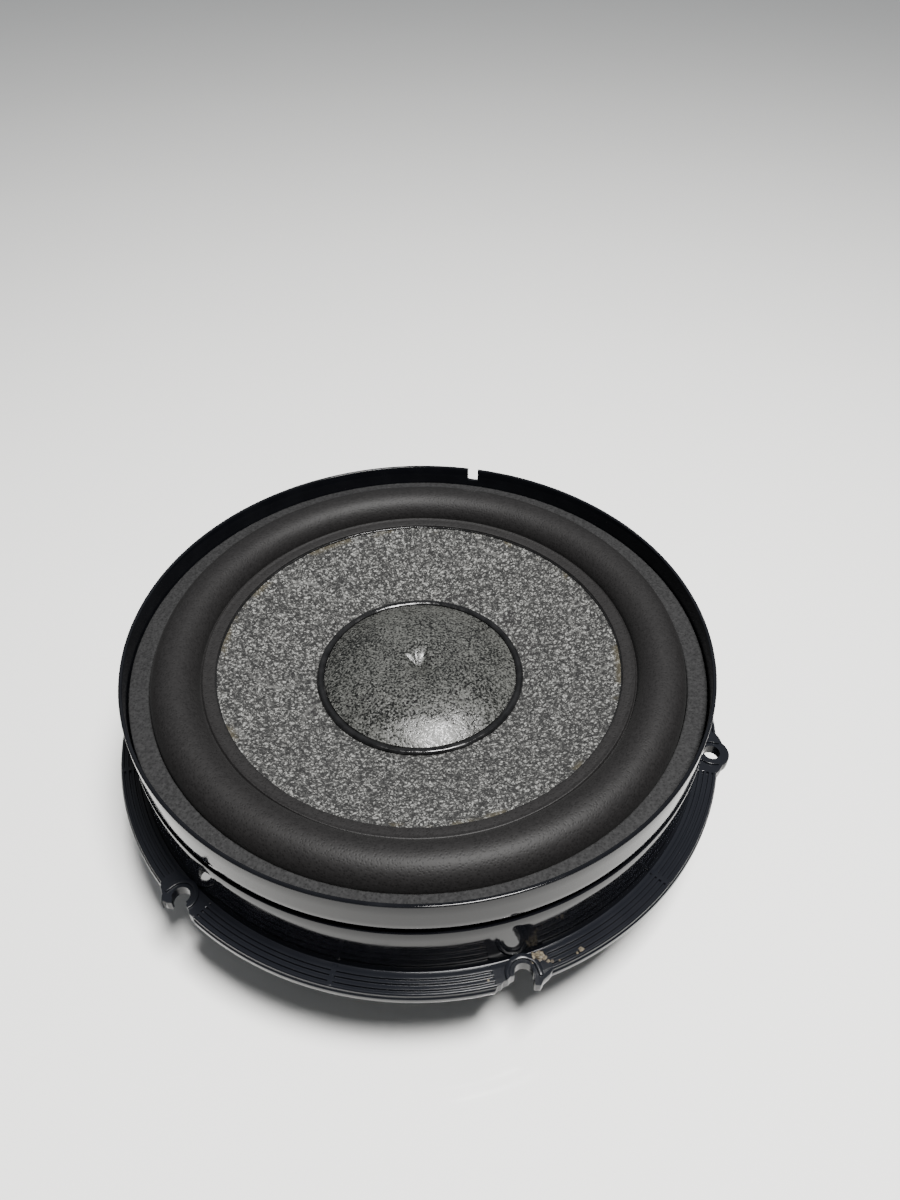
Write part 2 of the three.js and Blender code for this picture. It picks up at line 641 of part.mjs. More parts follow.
place('terminal_block', terminalBlockGeometry(), connectorPlastic());
[-1, 1].forEach((side, index) => {
  const number = index + 1;
  const screw = screwGeometry(2.6, 1.3, 8, PAD_TOP_Z + GAP);
  place(`terminal_screw_${number}`, screw, zincSteel(), side * TERMINAL_SCREW_X, TERMINAL_SCREW_Y, 0);
  place(`terminal_blade_${number}`, bladeGeometry(side), tinnedBrass());
  place(`tinsel_lead_${number}`, leadGeometry(side), tinselBraid());
  place(`lead_dab_${number}`, leadDabGeometry(side), glossAdhesive());
});

export default group;
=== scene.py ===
"""An 8-inch car door subwoofer on a pale floor: the looks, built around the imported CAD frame.

Sizes are millimetres inside the outlines and metres in Blender. Azimuths are degrees counter-clockwise
from +X; the camera looks from -Y. The levels and radii come from the frame's boxes wherever a CAD node
has them, and the rest are named below.
"""
import math
import random

import bmesh
import bpy
import numpy as np
from mathutils import Matrix, Vector, noise


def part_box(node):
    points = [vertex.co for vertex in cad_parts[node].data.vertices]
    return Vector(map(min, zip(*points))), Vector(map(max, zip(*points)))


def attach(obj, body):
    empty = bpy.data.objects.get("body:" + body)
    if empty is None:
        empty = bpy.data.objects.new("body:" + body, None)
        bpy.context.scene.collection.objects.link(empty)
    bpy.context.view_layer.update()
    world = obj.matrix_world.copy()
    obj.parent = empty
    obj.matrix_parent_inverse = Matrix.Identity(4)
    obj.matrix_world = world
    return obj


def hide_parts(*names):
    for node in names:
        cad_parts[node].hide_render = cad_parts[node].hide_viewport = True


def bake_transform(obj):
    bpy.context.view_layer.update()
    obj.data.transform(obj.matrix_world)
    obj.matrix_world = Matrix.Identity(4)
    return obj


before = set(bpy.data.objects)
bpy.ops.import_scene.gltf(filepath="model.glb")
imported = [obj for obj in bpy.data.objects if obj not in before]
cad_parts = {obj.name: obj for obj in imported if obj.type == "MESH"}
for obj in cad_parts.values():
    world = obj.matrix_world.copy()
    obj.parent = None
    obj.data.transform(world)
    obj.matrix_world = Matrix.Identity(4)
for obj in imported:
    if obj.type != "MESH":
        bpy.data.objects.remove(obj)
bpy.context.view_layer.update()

MM = 0.001
FINE = 360  # steps round a large ring
MEDIUM = 192  # steps round the motor and the voice coil


def level(node, end):
    """Height of a CAD node's lowest (0) or highest (1) point, in mm."""
    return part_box(node)[end].z / MM


def reach(node):
    """Outer radius of a round CAD node, in mm."""
    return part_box(node)[1].x / MM


# --- levels and radii from the frame -------------------------------------------------------------
DRUM_R = reach("front_ring")
COLLAR_TOP = level("front_ring", 1)
RING_FOOT = level("front_ring", 0)
GASKET_FACE = level("foam_gasket", 1)
GASKET_BACK = level("foam_gasket", 0)
GASKET_R = reach("foam_gasket")
LEDGE_TOP = level("basket", 1)
FLANGE_REAR = 34.0
CONE_R = reach("cone")
CAP_RING_R = reach("dust_cap_ring")
YOKE_R = reach("yoke")
MAGNET_R = reach("magnet_ring")

# --- sizes that no single box gives --------------------------------------------------------------
GASKET_INNER_R = 93.4
FLANGE_R = 109.8
FLANGE_TOP = 38.0
FLANGE_INNER_R = 103.3
DRUM_WALL = 2.4
DRUM_TOP = 60.5
NECK_R = 99.3
LEDGE_INNER_R = 91.6
GROOVES = ((108.0, 0.34), (106.3, 0.42), (104.7, 0.30))  # radius and half width
GROOVE_DEPTH = 0.9
LUGS = (-13.5, 44.0, 105.5, 166.5, -136.0, -74.5)
RIBS = (13.5, 74.5, 135.7, -166.5, -105.5, -44.3)
FRONT_LUG, LEFT_LUG = -74.5, -136.0  # the two torn ones
LUG_HOLE_R, LUG_HOLE_RADIUS, EAR_RADIUS = 107.4, 2.9, 6.2
LUG_HALF_WIDTH = 9.0
RIB_HALF_WIDTH = 0.8
GROOVE_STOPS = [(a, LUG_HALF_WIDTH) for a in LUGS] + [(a, RIB_HALF_WIDTH) for a in RIBS]
NOTCH_AZIMUTH, NOTCH_WIDTH, NOTCH_DEPTH = 76.0, 4.2, 5.5
ROLL_CENTRE_R, ROLL_CENTRE_Z, ROLL_RADIUS, ROLL_THICK = 84.85, 66.7, 8.35, 1.3
SURROUND_OUTER_R, LAND_THICK = 98.8, 0.9
CONE_SIGHT_R, CONE_EDGE_Z, CONE_THICK, CONE_NECK_R = 71.4, 66.3, 1.5, 19.7
CAP_RING_Z, CAP_RING_INNER_R = 57.0, 34.7
CAP_RIM_R, CAP_RIM_Z, CAP_CREST_Z, CAP_THICK = 34.4, 57.8, 63.85, 0.9
FORMER_R, FORMER_OUTER_R, FORMER_Z = 18.9, 19.4, (14.0, 53.0)
WINDING_R, WINDING_Z, WINDING_TURNS = 20.6, (16.0, 29.0), 37
TUBE_R, TUBE_INNER_R = 59.5, 57.0  # short tube that carries the spider
FLOOR_TOP, FLOOR_BORE_R = 28.3, 24.0
POLE_R, MAGNET_BORE_R, PLATE_BORE_R, YOKE_THICK = 18.0, 25.0, 21.6, 5.0
SCREW_AZIMUTHS, SCREW_R, SCREW_HOLE_R = (45, 135, 225, 315), 33.0, 1.9
TERMINAL_HALF_WIDTH, BLADE_X = 13, 4
TERMINAL_SCREW_X, TERMINAL_SCREW_Y, TERMINAL_SCREW_HOLE_R = 11, 90, 1.7


# --- mesh helpers --------------------------------------------------------------------------------
def polar(radius, azimuth, height=0.0):
    """A point in metres from mm and degrees."""
    angle = math.radians(azimuth)
    return Vector((radius * math.cos(angle), radius * math.sin(angle), height)) * MM


def finish_mesh(mesh, sharp=32):
    """Smooth shading with edges kept sharp above an angle, and faces pointing outwards."""
    work = bmesh.new()
    work.from_mesh(mesh)
    bmesh.ops.recalc_face_normals(work, faces=work.faces)
    work.to_mesh(mesh)
    work.free()
    mesh.shade_smooth()
    mesh.set_sharp_from_angle(angle=math.radians(sharp))


def new_object(name, vertices, faces, sharp=32):
    mesh = bpy.data.meshes.new(name)
    mesh.from_pydata([tuple(v) for v in vertices], [], faces)
    finish_mesh(mesh, sharp)
    made = bpy.data.objects.new(name, mesh)
    bpy.context.scene.collection.objects.link(made)
    return made


def arc(centre_r, centre_z, radius, start, end, steps):
    """Points [r, z] along an arc, angles in degrees from outwards towards the front."""
    points = []
    for step in range(steps + 1):
        angle = math.radians(start + (end - start) * step / steps)
        points.append((centre_r + radius * math.cos(angle), centre_z + radius * math.sin(angle)))
    return points


def rounded(points, fillet, steps=3, closed=True):
    """The outline with each corner replaced by a small round; fillet is one size or one for each corner."""
    count = len(points)
    sizes = fillet if isinstance(fillet, (list, tuple)) else [fillet] * count
    out = []
    for index, (point, size) in enumerate(zip(points, sizes)):
        corner = Vector(point)
        if size <= 0 or (not closed and index in (0, count - 1)):
            out.append(tuple(corner))
            continue
        back = Vector(points[index - 1]) - corner
        ahead = Vector(points[(index + 1) % count]) - corner
        size = min(size, back.length * 0.45, ahead.length * 0.45)
        first, last = corner + back.normalized() * size, corner + ahead.normalized() * size
        for step in range(steps + 1):
            t = step / steps
            out.append(tuple(first * (1 - t) ** 2 + corner * (2 * t * (1 - t)) + last * t ** 2))
    return out


def lathe(name, outline, steps=FINE, closed=True, shape=None, azimuths=None):
    """Turns an outline of [r, z] in mm about the axis. A closed outline is a ring.
    An open one starts and ends on the axis. shape(r, z, azimuth, index) may return a changed (r, z)."""
    azimuths = azimuths or [360.0 * step / steps for step in range(steps)]
    vertices, faces = [], []
    body = outline if closed else outline[1:-1]
    width = len(body)
    for azimuth in azimuths:
        for index, (r, z) in enumerate(body):
            if shape:
                r, z = shape(r, z, azimuth, index)
            vertices.append(polar(r, azimuth, z))
    rounds = len(azimuths)
    for turn in range(rounds):
        here, there = turn * width, ((turn + 1) % rounds) * width
        for index in range(width if closed else width - 1):
            after = (index + 1) % width
            faces.append((here + index, there + index, there + after, here + after))
    if not closed:
        for end, index in ((outline[0], 0), (outline[-1], width - 1)):
            tip = len(vertices)
            vertices.append(Vector((0, 0, end[1])) * MM)
            for turn in range(rounds):
                faces.append((tip, turn * width + index, ((turn + 1) % rounds) * width + index))
    return new_object(name, vertices, faces)


def prism(name, outline, low, high, place=None):
    """A straight-sided solid over a closed outline of [x, y] in mm, between two heights."""
    place = place or Matrix.Identity(4)
    count = len(outline)
    vertices = [place @ Vector((x * MM, y * MM, z * MM)) for z in (low, high) for x, y in outline]
    faces = [tuple(range(count)), tuple(range(count, 2 * count))]
    for index in range(count):
        after = (index + 1) % count
        faces.append((index, after, count + after, count + index))
    return new_object(name, vertices, faces)


def turn_z(azimuth):
    return Matrix.Rotation(math.radians(azimuth), 4, "Z")


def to_mesh(source):
    """Replaces an object by a plain mesh of its final shape, under the same name."""
    name = source.name
    evaluated = source.evaluated_get(bpy.context.evaluated_depsgraph_get())
    mesh = bpy.data.meshes.new_from_object(evaluated)
    bpy.data.objects.remove(source)
    mesh.name = name
    made = bpy.data.objects.new(name, mesh)
    bpy.context.scene.collection.objects.link(made)
    return made


def boolean(target, other, operation):
    """Joins or cuts target by other, and drops other."""
    modifier = target.modifiers.new(operation, "BOOLEAN")
    modifier.operation = operation
    modifier.solver = "MANIFOLD"
    modifier.object = other
    bpy.context.view_layer.update()
    evaluated = target.evaluated_get(bpy.context.evaluated_depsgraph_get())
    mesh = bpy.data.meshes.new_from_object(evaluated)
    target.modifiers.clear()
    old = target.data
    target.data = mesh
    bpy.data.meshes.remove(old)
    bpy.data.objects.remove(other)

def drill(target, radius, low, high, place, steps=24):
    """Cuts a round hole along Z between two heights in mm, at a place in metres."""
    hole = lathe("hole", [(0, low), (radius, low), (radius, high), (0, high)], steps, closed=False)
    hole.data.transform(Matrix.Translation(place))
    boolean(target, hole, "DIFFERENCE")

def terminal_screw_place(side):
    return Vector((side * TERMINAL_SCREW_X, TERMINAL_SCREW_Y, 0)) * MM


# --- material helper -----------------------------------------------------------------------------
class Paint:
    """One procedural material. Sizes are in mm on the object itself."""

    def __init__(self, name):
        self.material = bpy.data.materials.new(name)
        self.material.use_nodes = True
        self.tree = self.material.node_tree
        self.surface = self.tree.nodes["Principled BSDF"]
        self.point = self.node("ShaderNodeTexCoord").outputs["Object"]

    def node(self, kind, **settings):
        made = self.tree.nodes.new(kind)
        for key, value in settings.items():
            setattr(made, key, value)
        return made

    def put(self, socket, value):
        if isinstance(value, bpy.types.NodeSocket):
            self.tree.links.new(value, socket)
        else:
            socket.default_value = value

    def noise(self, size, detail=3.0, rough=0.5, at=None):
        made = self.node("ShaderNodeTexNoise")
        self.put(made.inputs["Vector"], at or self.point)
        made.inputs["Scale"].default_value = 1.0 / (size * MM)
        made.inputs["Detail"].default_value = detail
        made.inputs["Roughness"].default_value = rough
        return made.outputs["Fac"]

    def cells(self, size, at=None):
        made = self.node("ShaderNodeTexVoronoi")
        self.put(made.inputs["Vector"], at or self.point)
        made.inputs["Scale"].default_value = 1.0 / (size * MM)
        return made.outputs["Distance"]

    def stretched(self, x, y, z, turn=(0, 0, 0)):
        made = self.node("ShaderNodeMapping")
        self.put(made.inputs["Vector"], self.point)
        made.inputs["Rotation"].default_value = [math.radians(a) for a in turn]
        made.inputs["Scale"].default_value = (x, y, z)
        return made.outputs["Vector"]

    def maths(self, operation, first, second=0.0):
        made = self.node("ShaderNodeMath", operation=operation)
        self.put(made.inputs[0], first)
        self.put(made.inputs[1], second)
        return made.outputs[0]

    def ramp(self, value, low, high, start=0.0, end=1.0):
        """Smooth step of a value from low..high to start..end."""
        made = self.node("ShaderNodeMapRange", interpolation_type="SMOOTHSTEP")
        self.put(made.inputs["Value"], value)
        for socket, number in zip(("From Min", "From Max", "To Min", "To Max"), (low, high, start, end)):
            made.inputs[socket].default_value = number
        return made.outputs["Result"]

    def mix(self, factor, first, second):
        made = self.node("ShaderNodeMix", data_type="RGBA")
        self.put(made.inputs["Factor"], factor)
        colours = [s for s in made.inputs if s.type == "RGBA"]
        for socket, value in zip(colours, (first, second)):
            self.put(socket, (*value, 1.0) if isinstance(value, tuple) else value)
        return next(s for s in made.outputs if s.type == "RGBA")

    def axis(self, index):
        return self.parts().outputs[index]

    def parts(self):
        made = self.node("ShaderNodeSeparateXYZ")
        self.put(made.inputs[0], self.point)
        return made

    def radius(self):
        """Distance from the axis in metres."""
        xyz = self.parts()
        flat = self.node("ShaderNodeCombineXYZ")
        self.put(flat.inputs[0], xyz.outputs[0])
        self.put(flat.inputs[1], xyz.outputs[1])
        made = self.node("ShaderNodeVectorMath", operation="LENGTH")
        self.put(made.inputs[0], flat.outputs[0])
        return made.outputs["Value"]

    def rolled_out(self, around):
        """Polar coordinates: the length round the axis at 0.1 m, the radius and the height."""
        xyz = self.parts()
        angle = self.maths("ARCTAN2", xyz.outputs[1], xyz.outputs[0])
        made = self.node("ShaderNodeCombineXYZ")
        self.put(made.inputs[0], self.maths("MULTIPLY", angle, 0.1 * around))
        self.put(made.inputs[1], self.radius())
        self.put(made.inputs[2], xyz.outputs[2])
        return made.outputs[0]

    def bump(self, height, depth, below=None):
        made = self.node("ShaderNodeBump")
        made.inputs["Strength"].default_value = 1.0
        made.inputs["Distance"].default_value = depth * MM
        self.put(made.inputs["Height"], height)
        if below:
            self.put(made.inputs["Normal"], below)
        return made.outputs["Normal"]

    def done(self, colour, rough, normal=None, **numbers):
        self.put(self.surface.inputs["Base Color"], (*colour, 1.0) if isinstance(colour, tuple) else colour)
        self.put(self.surface.inputs["Roughness"], rough)
        if normal:
            self.put(self.surface.inputs["Normal"], normal)
        for name, value in numbers.items():
            self.surface.inputs[name.replace("_", " ").title().replace("Ior", "IOR")].default_value = value
        return self.material


# --- materials -----------------------------------------------------------------------------------
def gloss_plastic():
    """Black moulded plastic: mirror gloss on the drum, a finer satin on the flange, light dust."""
    p = Paint("drum_plastic")
    dust = p.ramp(p.cells(3.4), 0.045, 0.02)
    dust = p.maths("MULTIPLY", dust, p.ramp(p.noise(14, 2), 0.45, 0.62))
    haze = p.ramp(p.noise(9, 4, 0.6), 0.35, 0.8)
    on_flange = p.ramp(p.axis(2), 40.5 * MM, 39.0 * MM)
    colour = p.mix(haze, (0.0030, 0.0032, 0.0042), (0.0045, 0.0048, 0.0060))
    colour = p.mix(p.maths("MULTIPLY", on_flange, 0.9), colour, (0.0058, 0.0064, 0.0084))
    colour = p.mix(p.maths("MULTIPLY", dust, 0.4), colour, (0.08, 0.075, 0.07))
    gloss = p.maths("ADD", p.ramp(haze, 0, 1, 0.06, 0.11), p.maths("MULTIPLY", on_flange, 0.14))
    scratch = p.ramp(p.noise(0.5, 2, 0.5, p.stretched(0.05, 0.6, 1, turn=(0, 0, 24))), 0.70, 0.78)
    normal = p.bump(p.noise(16, 1), 0.05)
    normal = p.bump(p.noise(0.22, 2), 0.0012, normal)
    normal = p.bump(scratch, 0.002, normal)
    return p.done(colour, gloss, normal, specular_ior_level=0.15)


def open_foam(name, dark, pale, grain, depth, speck, rough):
    """Open-cell foam skin: a grain with small pores darkened by painted shade, and pale flecks."""
    p = Paint(name)
    pores = p.ramp(p.cells(grain), 0.10, 0.55)
    tone = p.noise(grain * 1.4, 3, 0.65)
    patch = p.ramp(p.noise(22, 3, 0.6), 0.3, 0.7)
    colour = p.mix(p.ramp(tone, 0.3, 0.72), dark, pale)
    colour = p.mix(p.maths("MULTIPLY", patch, 0.25), colour, pale)
    # painted shade: the pores are darkened as if shaded inside
    pore_shade = p.maths("MULTIPLY", p.ramp(pores, 0, 1, 0.55, 0.0), 0.9)
    colour = p.mix(pore_shade, colour, tuple(c * 0.25 for c in dark))
    fleck = p.ramp(p.cells(speck), 0.16, 0.07)
    colour = p.mix(p.maths("MULTIPLY", fleck, 0.12), colour, tuple(min(1.0, c * 3.2) for c in pale))
    normal = p.bump(tone, depth * 0.8)
    normal = p.bump(pores, depth, normal)
    return p.done(colour, rough, normal, specular_ior_level=0.17, sheen_weight=0.01, sheen_roughness=0.5)


def felt():
    """Pressed grey fibre mat: tangled pale and dark fibres, faint swirls, glue stains near the rim, and
    painted shade that darkens the front.
    """
    p = Paint("cone_felt")
    warp = p.node("ShaderNodeVectorMath", operation="MULTIPLY_ADD")
    wander = p.node("ShaderNodeTexNoise")
    p.put(wander.inputs["Vector"], p.point)
    wander.inputs["Scale"].default_value = 260  # bends about 4 mm long
    p.put(warp.inputs[0], wander.outputs["Color"])
    warp.inputs[1].default_value = [2.2 * MM] * 3
    p.put(warp.inputs[2], p.point)
    bent = warp.outputs[0]

    def threads(size, seed, width):
        """Thin tangled lines: where a noise crosses its middle value."""
        place = p.node("ShaderNodeVectorMath", operation="ADD")
        p.put(place.inputs[0], bent)
        place.inputs[1].default_value = (seed * MM, -seed * MM, 0)
        value = p.noise(size, 1.5, 0.5, place.outputs[0])
        return p.ramp(p.maths("ABSOLUTE", p.maths("SUBTRACT", value, 0.5)), width, width * 0.3)

    clump = p.noise(2.0, 3, 0.62)
    broad = p.noise(24, 3, 0.6)
    speckle = p.noise(0.82, 2, 0.6)
    tone = p.maths("ADD", p.ramp(speckle, 0.39, 0.60, 0.0, 0.78), p.ramp(clump, 0.34, 0.68, -0.04, 0.24))
    tone = p.maths("ADD", tone, p.ramp(broad, 0.3, 0.7, -0.08, 0.10))
    # painted shade: the felt is darker towards the front (-Y) and lighter towards the back
    tone = p.maths("ADD", tone, p.ramp(p.axis(1), -60 * MM, 60 * MM, -0.11, 0.11))
    colour = p.mix(p.ramp(tone, 0.0, 1.0), (0.0035, 0.0036, 0.0034), (0.148, 0.149, 0.142))
    for size, seed, width in ((1.9, 11, 0.070), (1.5, 23, 0.075), (2.8, 37, 0.050)):
        pale = p.maths("MULTIPLY", threads(size, seed, width), 0.45)
        colour = p.mix(pale, colour, (0.215, 0.215, 0.207))
    for size, seed, width in ((1.7, 51, 0.095), (1.2, 67, 0.095), (2.2, 83, 0.080)):
        dark = p.maths("MULTIPLY", threads(size, seed, width), 0.78)
        colour = p.mix(dark, colour, (0.0026, 0.0026, 0.0028))
    ring = p.maths("ABSOLUTE", p.maths("SUBTRACT", p.cells(31, at=p.stretched(1, 1, 0.2)), 0.36))
    swirl = p.maths("MULTIPLY", p.ramp(ring, 0.030, 0.004), p.ramp(p.noise(26, 2), 0.50, 0.60))
    colour = p.mix(p.maths("MULTIPLY", swirl, 0.14), colour, (0.22, 0.22, 0.21))
    edge = p.ramp(p.radius(), 68.2 * MM, 70.6 * MM)
    stain = p.maths("MULTIPLY", edge, p.ramp(p.noise(13, 3), 0.52, 0.60))
    colour = p.mix(p.maths("MULTIPLY", stain, 0.5), colour, (0.038, 0.031, 0.014))
    normal = p.bump(p.ramp(clump, 0.2, 0.8), 0.22)
    normal = p.bump(speckle, 0.20, normal)
    return p.done(colour, 0.9, normal, specular_ior_level=0.3, sheen_weight=0.08, sheen_roughness=0.5)


def lacquered_fibre():
    """The dust cap: grey fibre soaked in dark lacquer, shiny in patches, with pale fibres showing, and
    painted shade on its left side.
    """
    p = Paint("cap_fibre")
    fibres = p.noise(0.78, 2, 0.65)
    clump = p.noise(2.2, 3, 0.62)
    broad = p.noise(15, 3, 0.55)
    tone = p.maths("ADD", p.ramp(fibres, 0.34, 0.68, 0.0, 0.80), p.ramp(clump, 0.32, 0.70, 0.0, 0.26))
    tone = p.maths("ADD", tone, p.ramp(broad, 0.3, 0.7, -0.14, 0.08))
    tone = p.maths("ADD", tone, p.ramp(p.radius(), 24 * MM, 33 * MM, 0.0, 0.10))
    # painted shade: the cap is darker on its left (-X) side
    tone = p.maths("ADD", tone, p.ramp(p.axis(0), -30 * MM, -8 * MM, -0.14, 0.0))
    colour = p.mix(p.ramp(tone, 0.05, 1.0), (0.0012, 0.0013, 0.0012), (0.054, 0.055, 0.051))
    pale = p.ramp(p.noise(0.9, 2, 0.6, p.stretched(1, 1.9, 1, turn=(0, 0, 35))), 0.60, 0.70)
    colour = p.mix(p.maths("MULTIPLY", pale, 0.75), colour, (0.135, 0.137, 0.129))
    patches = p.maths("ADD", tone, p.ramp(p.noise(1.1, 2), 0.3, 0.7, -0.3, 0.3))
    gloss = p.ramp(patches, 0.15, 0.9, 0.20, 0.48)
    normal = p.bump(clump, 0.13)
    normal = p.bump(fibres, 0.12, normal)
    return p.done(colour, gloss, normal, specular_ior_level=0.36)


def adhesive():
    p = Paint("black_adhesive")
    lumps = p.noise(5, 3)
    colour = p.mix(p.ramp(lumps, 0.35, 0.7), (0.0024, 0.0024, 0.0026), (0.0060, 0.0060, 0.0064))
    normal = p.bump(lumps, 0.3)
    normal = p.bump(p.noise(1.1, 2), 0.05, normal)
    return p.done(colour, p.ramp(p.noise(3, 3), 0.3, 0.7, 0.14, 0.30), normal, specular_ior_level=0.30)


def amber_film():
    p = Paint("former_film")
    streak = p.noise(3, 3, 0.5, p.stretched(1, 1, 0.1))
    colour = p.mix(streak, (0.42, 0.17, 0.03), (0.62, 0.28, 0.055))
    return p.done(colour, 0.26, p.bump(streak, 0.02), specular_ior_level=0.6, coat_weight=0.3)


def wound_wire():
    p = Paint("coil_wire")
    turns = p.maths("SINE", p.maths("MULTIPLY", p.axis(2), math.tau / (0.35 * MM)))
    tone = p.noise(2.2, 3)
    colour = p.mix(tone, (0.50, 0.16, 0.055), (0.72, 0.30, 0.12))
    return p.done(colour, 0.28, p.bump(turns, 0.08), metallic=0.85, coat_weight=0.4, coat_roughness=0.1)


def phenolic_cloth():
    """The spider: open woven cotton stiffened with resin."""
    p = Paint("spider_cloth")
    xyz = p.parts()
    across = p.maths("SINE", p.maths("MULTIPLY", xyz.outputs[0], math.tau / (1.1 * MM)))
    along = p.maths("SINE", p.maths("MULTIPLY", xyz.outputs[1], math.tau / (1.1 * MM)))
    weave = p.maths("MAXIMUM", p.maths("ABSOLUTE", across), p.maths("ABSOLUTE", along))
    resin = p.noise(9, 3, 0.6)
    colour = p.mix(p.ramp(weave, 0.35, 0.95), (0.20, 0.115, 0.028), (0.56, 0.38, 0.135))
    colour = p.mix(p.ramp(resin, 0.45, 0.75, 0.0, 0.5), colour, (0.30, 0.17, 0.045))
    return p.done(colour, 0.72, p.bump(weave, 0.22), specular_ior_level=0.35)


def plated_steel():
    """Turned steel under bright zinc: fine turning rings, clouded plating, small stains."""
    p = Paint("plated_steel")
    rings = p.noise(0.5, 2, 0.6, p.rolled_out(0.02))
    cloud = p.noise(11, 4, 0.6)
    stain = p.ramp(p.noise(5, 4, 0.7), 0.62, 0.78)
    colour = p.mix(p.ramp(cloud, 0.35, 0.7), (0.50, 0.51, 0.52), (0.66, 0.66, 0.64))
    colour = p.mix(p.maths("MULTIPLY", stain, 0.5), colour, (0.40, 0.38, 0.33))
    normal = p.bump(rings, 0.02)
    normal = p.bump(cloud, 0.03, normal)
    return p.done(colour, p.ramp(cloud, 0.3, 0.75, 0.24, 0.42), normal, metallic=1.0)


def ground_ferrite():
    p = Paint("ferrite")
    grain = p.noise(0.35, 3, 0.7)
    cloud = p.noise(8, 4, 0.6)
    chip = p.ramp(p.cells(5.5), 0.11, 0.05)
    colour = p.mix(p.ramp(cloud, 0.3, 0.75), (0.020, 0.0205, 0.022), (0.045, 0.045, 0.047))
    colour = p.mix(p.maths("MULTIPLY", chip, 0.5), colour, (0.09, 0.09, 0.09))
    normal = p.bump(grain, 0.06)
    normal = p.bump(cloud, 0.10, normal)
    return p.done(colour, 0.55, normal, specular_ior_level=0.6)


def connector_plastic():
    p = Paint("connector_plastic")
    grain = p.noise(0.3, 2)
    cloud = p.noise(6, 3)
    colour = p.mix(cloud, (0.012, 0.012, 0.013), (0.024, 0.024, 0.026))
    return p.done(colour, p.ramp(cloud, 0.3, 0.7, 0.36, 0.50), p.bump(grain, 0.03))


def tinned_brass():
    p = Paint("tinned_brass")
    cloud = p.noise(1.6, 3)
    colour = p.mix(cloud, (0.66, 0.62, 0.52), (0.80, 0.78, 0.71))
    return p.done(colour, p.ramp(cloud, 0.3, 0.7, 0.18, 0.34), p.bump(cloud, 0.03), metallic=1.0)


def tinsel():
    p = Paint("tinsel")
    cloud = p.noise(0.7, 3, 0.7)
    colour = p.mix(cloud, (0.42, 0.26, 0.12), (0.78, 0.60, 0.38))
    return p.done(colour, 0.38, p.bump(cloud, 0.08), metallic=0.8)


def dried_glue():
    p = Paint("dried_glue")
    lumps = p.noise(1.1, 4, 0.65)
    colour = p.mix(p.ramp(lumps, 0.35, 0.7), (0.020, 0.012, 0.006), (0.115, 0.092, 0.055))
    return p.done(colour, 0.6, p.bump(lumps, 0.3), subsurface_weight=0.1)


finishes = {
    "dried_glue": dried_glue(),
    "drum_plastic": gloss_plastic(),
    "gasket_foam": open_foam("gasket_foam", (0.0072, 0.0072, 0.0076), (0.0180, 0.0180, 0.0184),
                             grain=0.95, depth=0.05, speck=3.1, rough=0.8),
    "roll_foam": open_foam("roll_foam", (0.0058, 0.0054, 0.0055), (0.0098, 0.0093, 0.0094),
                           grain=0.9, depth=0.035, speck=3.7, rough=0.55),
    "seal_foam": open_foam("seal_foam", (0.022, 0.022, 0.022), (0.055, 0.054, 0.053),
                           grain=0.8, depth=0.2, speck=4.0, rough=0.95),
    "cone_felt": felt(),
    "cap_fibre": lacquered_fibre(),
    "black_adhesive": adhesive(),
    "former_film": amber_film(),
    "coil_wire": wound_wire(),
    "spider_cloth": phenolic_cloth(),
    "plated_steel": plated_steel(),
    "ferrite": ground_ferrite(),
    "connector_plastic": connector_plastic(),
    "tinned_brass": tinned_brass(),
    "tinsel": tinsel(),
}


def take_over(made, node, slot_name, body="chassis"):
    """The finished piece stands for a CAD node, in that slot's finish, on that body."""
    made.data.materials.clear()
    made.data.materials.append(finishes[slot_name])
    if node:
        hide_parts(node)
    if body:
        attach(made, body)


# --- basket --------------------------------------------------------------------------------------
def softened(made, width, segments=3):
    """Rounds every sharp edge of a simple solid."""
    modifier = made.modifiers.new("edges", "BEVEL")
    modifier.width = width * MM
    modifier.segments = segments
    modifier.limit_method = "ANGLE"
    modifier.angle_limit = math.radians(35)
    bpy.context.view_layer.update()
    return to_mesh(made)


def web(name, outline, width, azimuth):
    """A solid standing on edge over an outline of [radius, height], width wide across the azimuth."""
    place = turn_z(azimuth) @ Matrix.Rotation(math.radians(90), 4, "X")
    return prism(name, outline, -width / 2, width / 2, place)


def box_solid(name, low, high, azimuth=0.0):
    outline = [(low[0], low[1]), (high[0], low[1]), (high[0], high[1]), (low[0], high[1])]
    return prism(name, outline, low[2], high[2], turn_z(azimuth))


def drum_azimuths():
    """Even steps, with close pairs where a groove ends at a lug or a rib."""
    extra = []
    for centre, half in GROOVE_STOPS:
        wide = math.degrees(half / GROOVES[1][0])
        for side in (-1, 1):
            extra += [centre + side * (wide - 0.03), centre + side * (wide + 0.03)]
    even = [360.0 * step / FINE for step in range(FINE)]
    even = [a for a in even if all(abs((a - e + 180) % 360 - 180) > 0.12 for e in extra)]
    return sorted(a % 360 for a in even + extra)


def interrupted(azimuth):
    for centre, half in GROOVE_STOPS:
        if abs((azimuth - centre + 180) % 360 - 180) < math.degrees(half / GROOVES[1][0]):
            return True
    return False


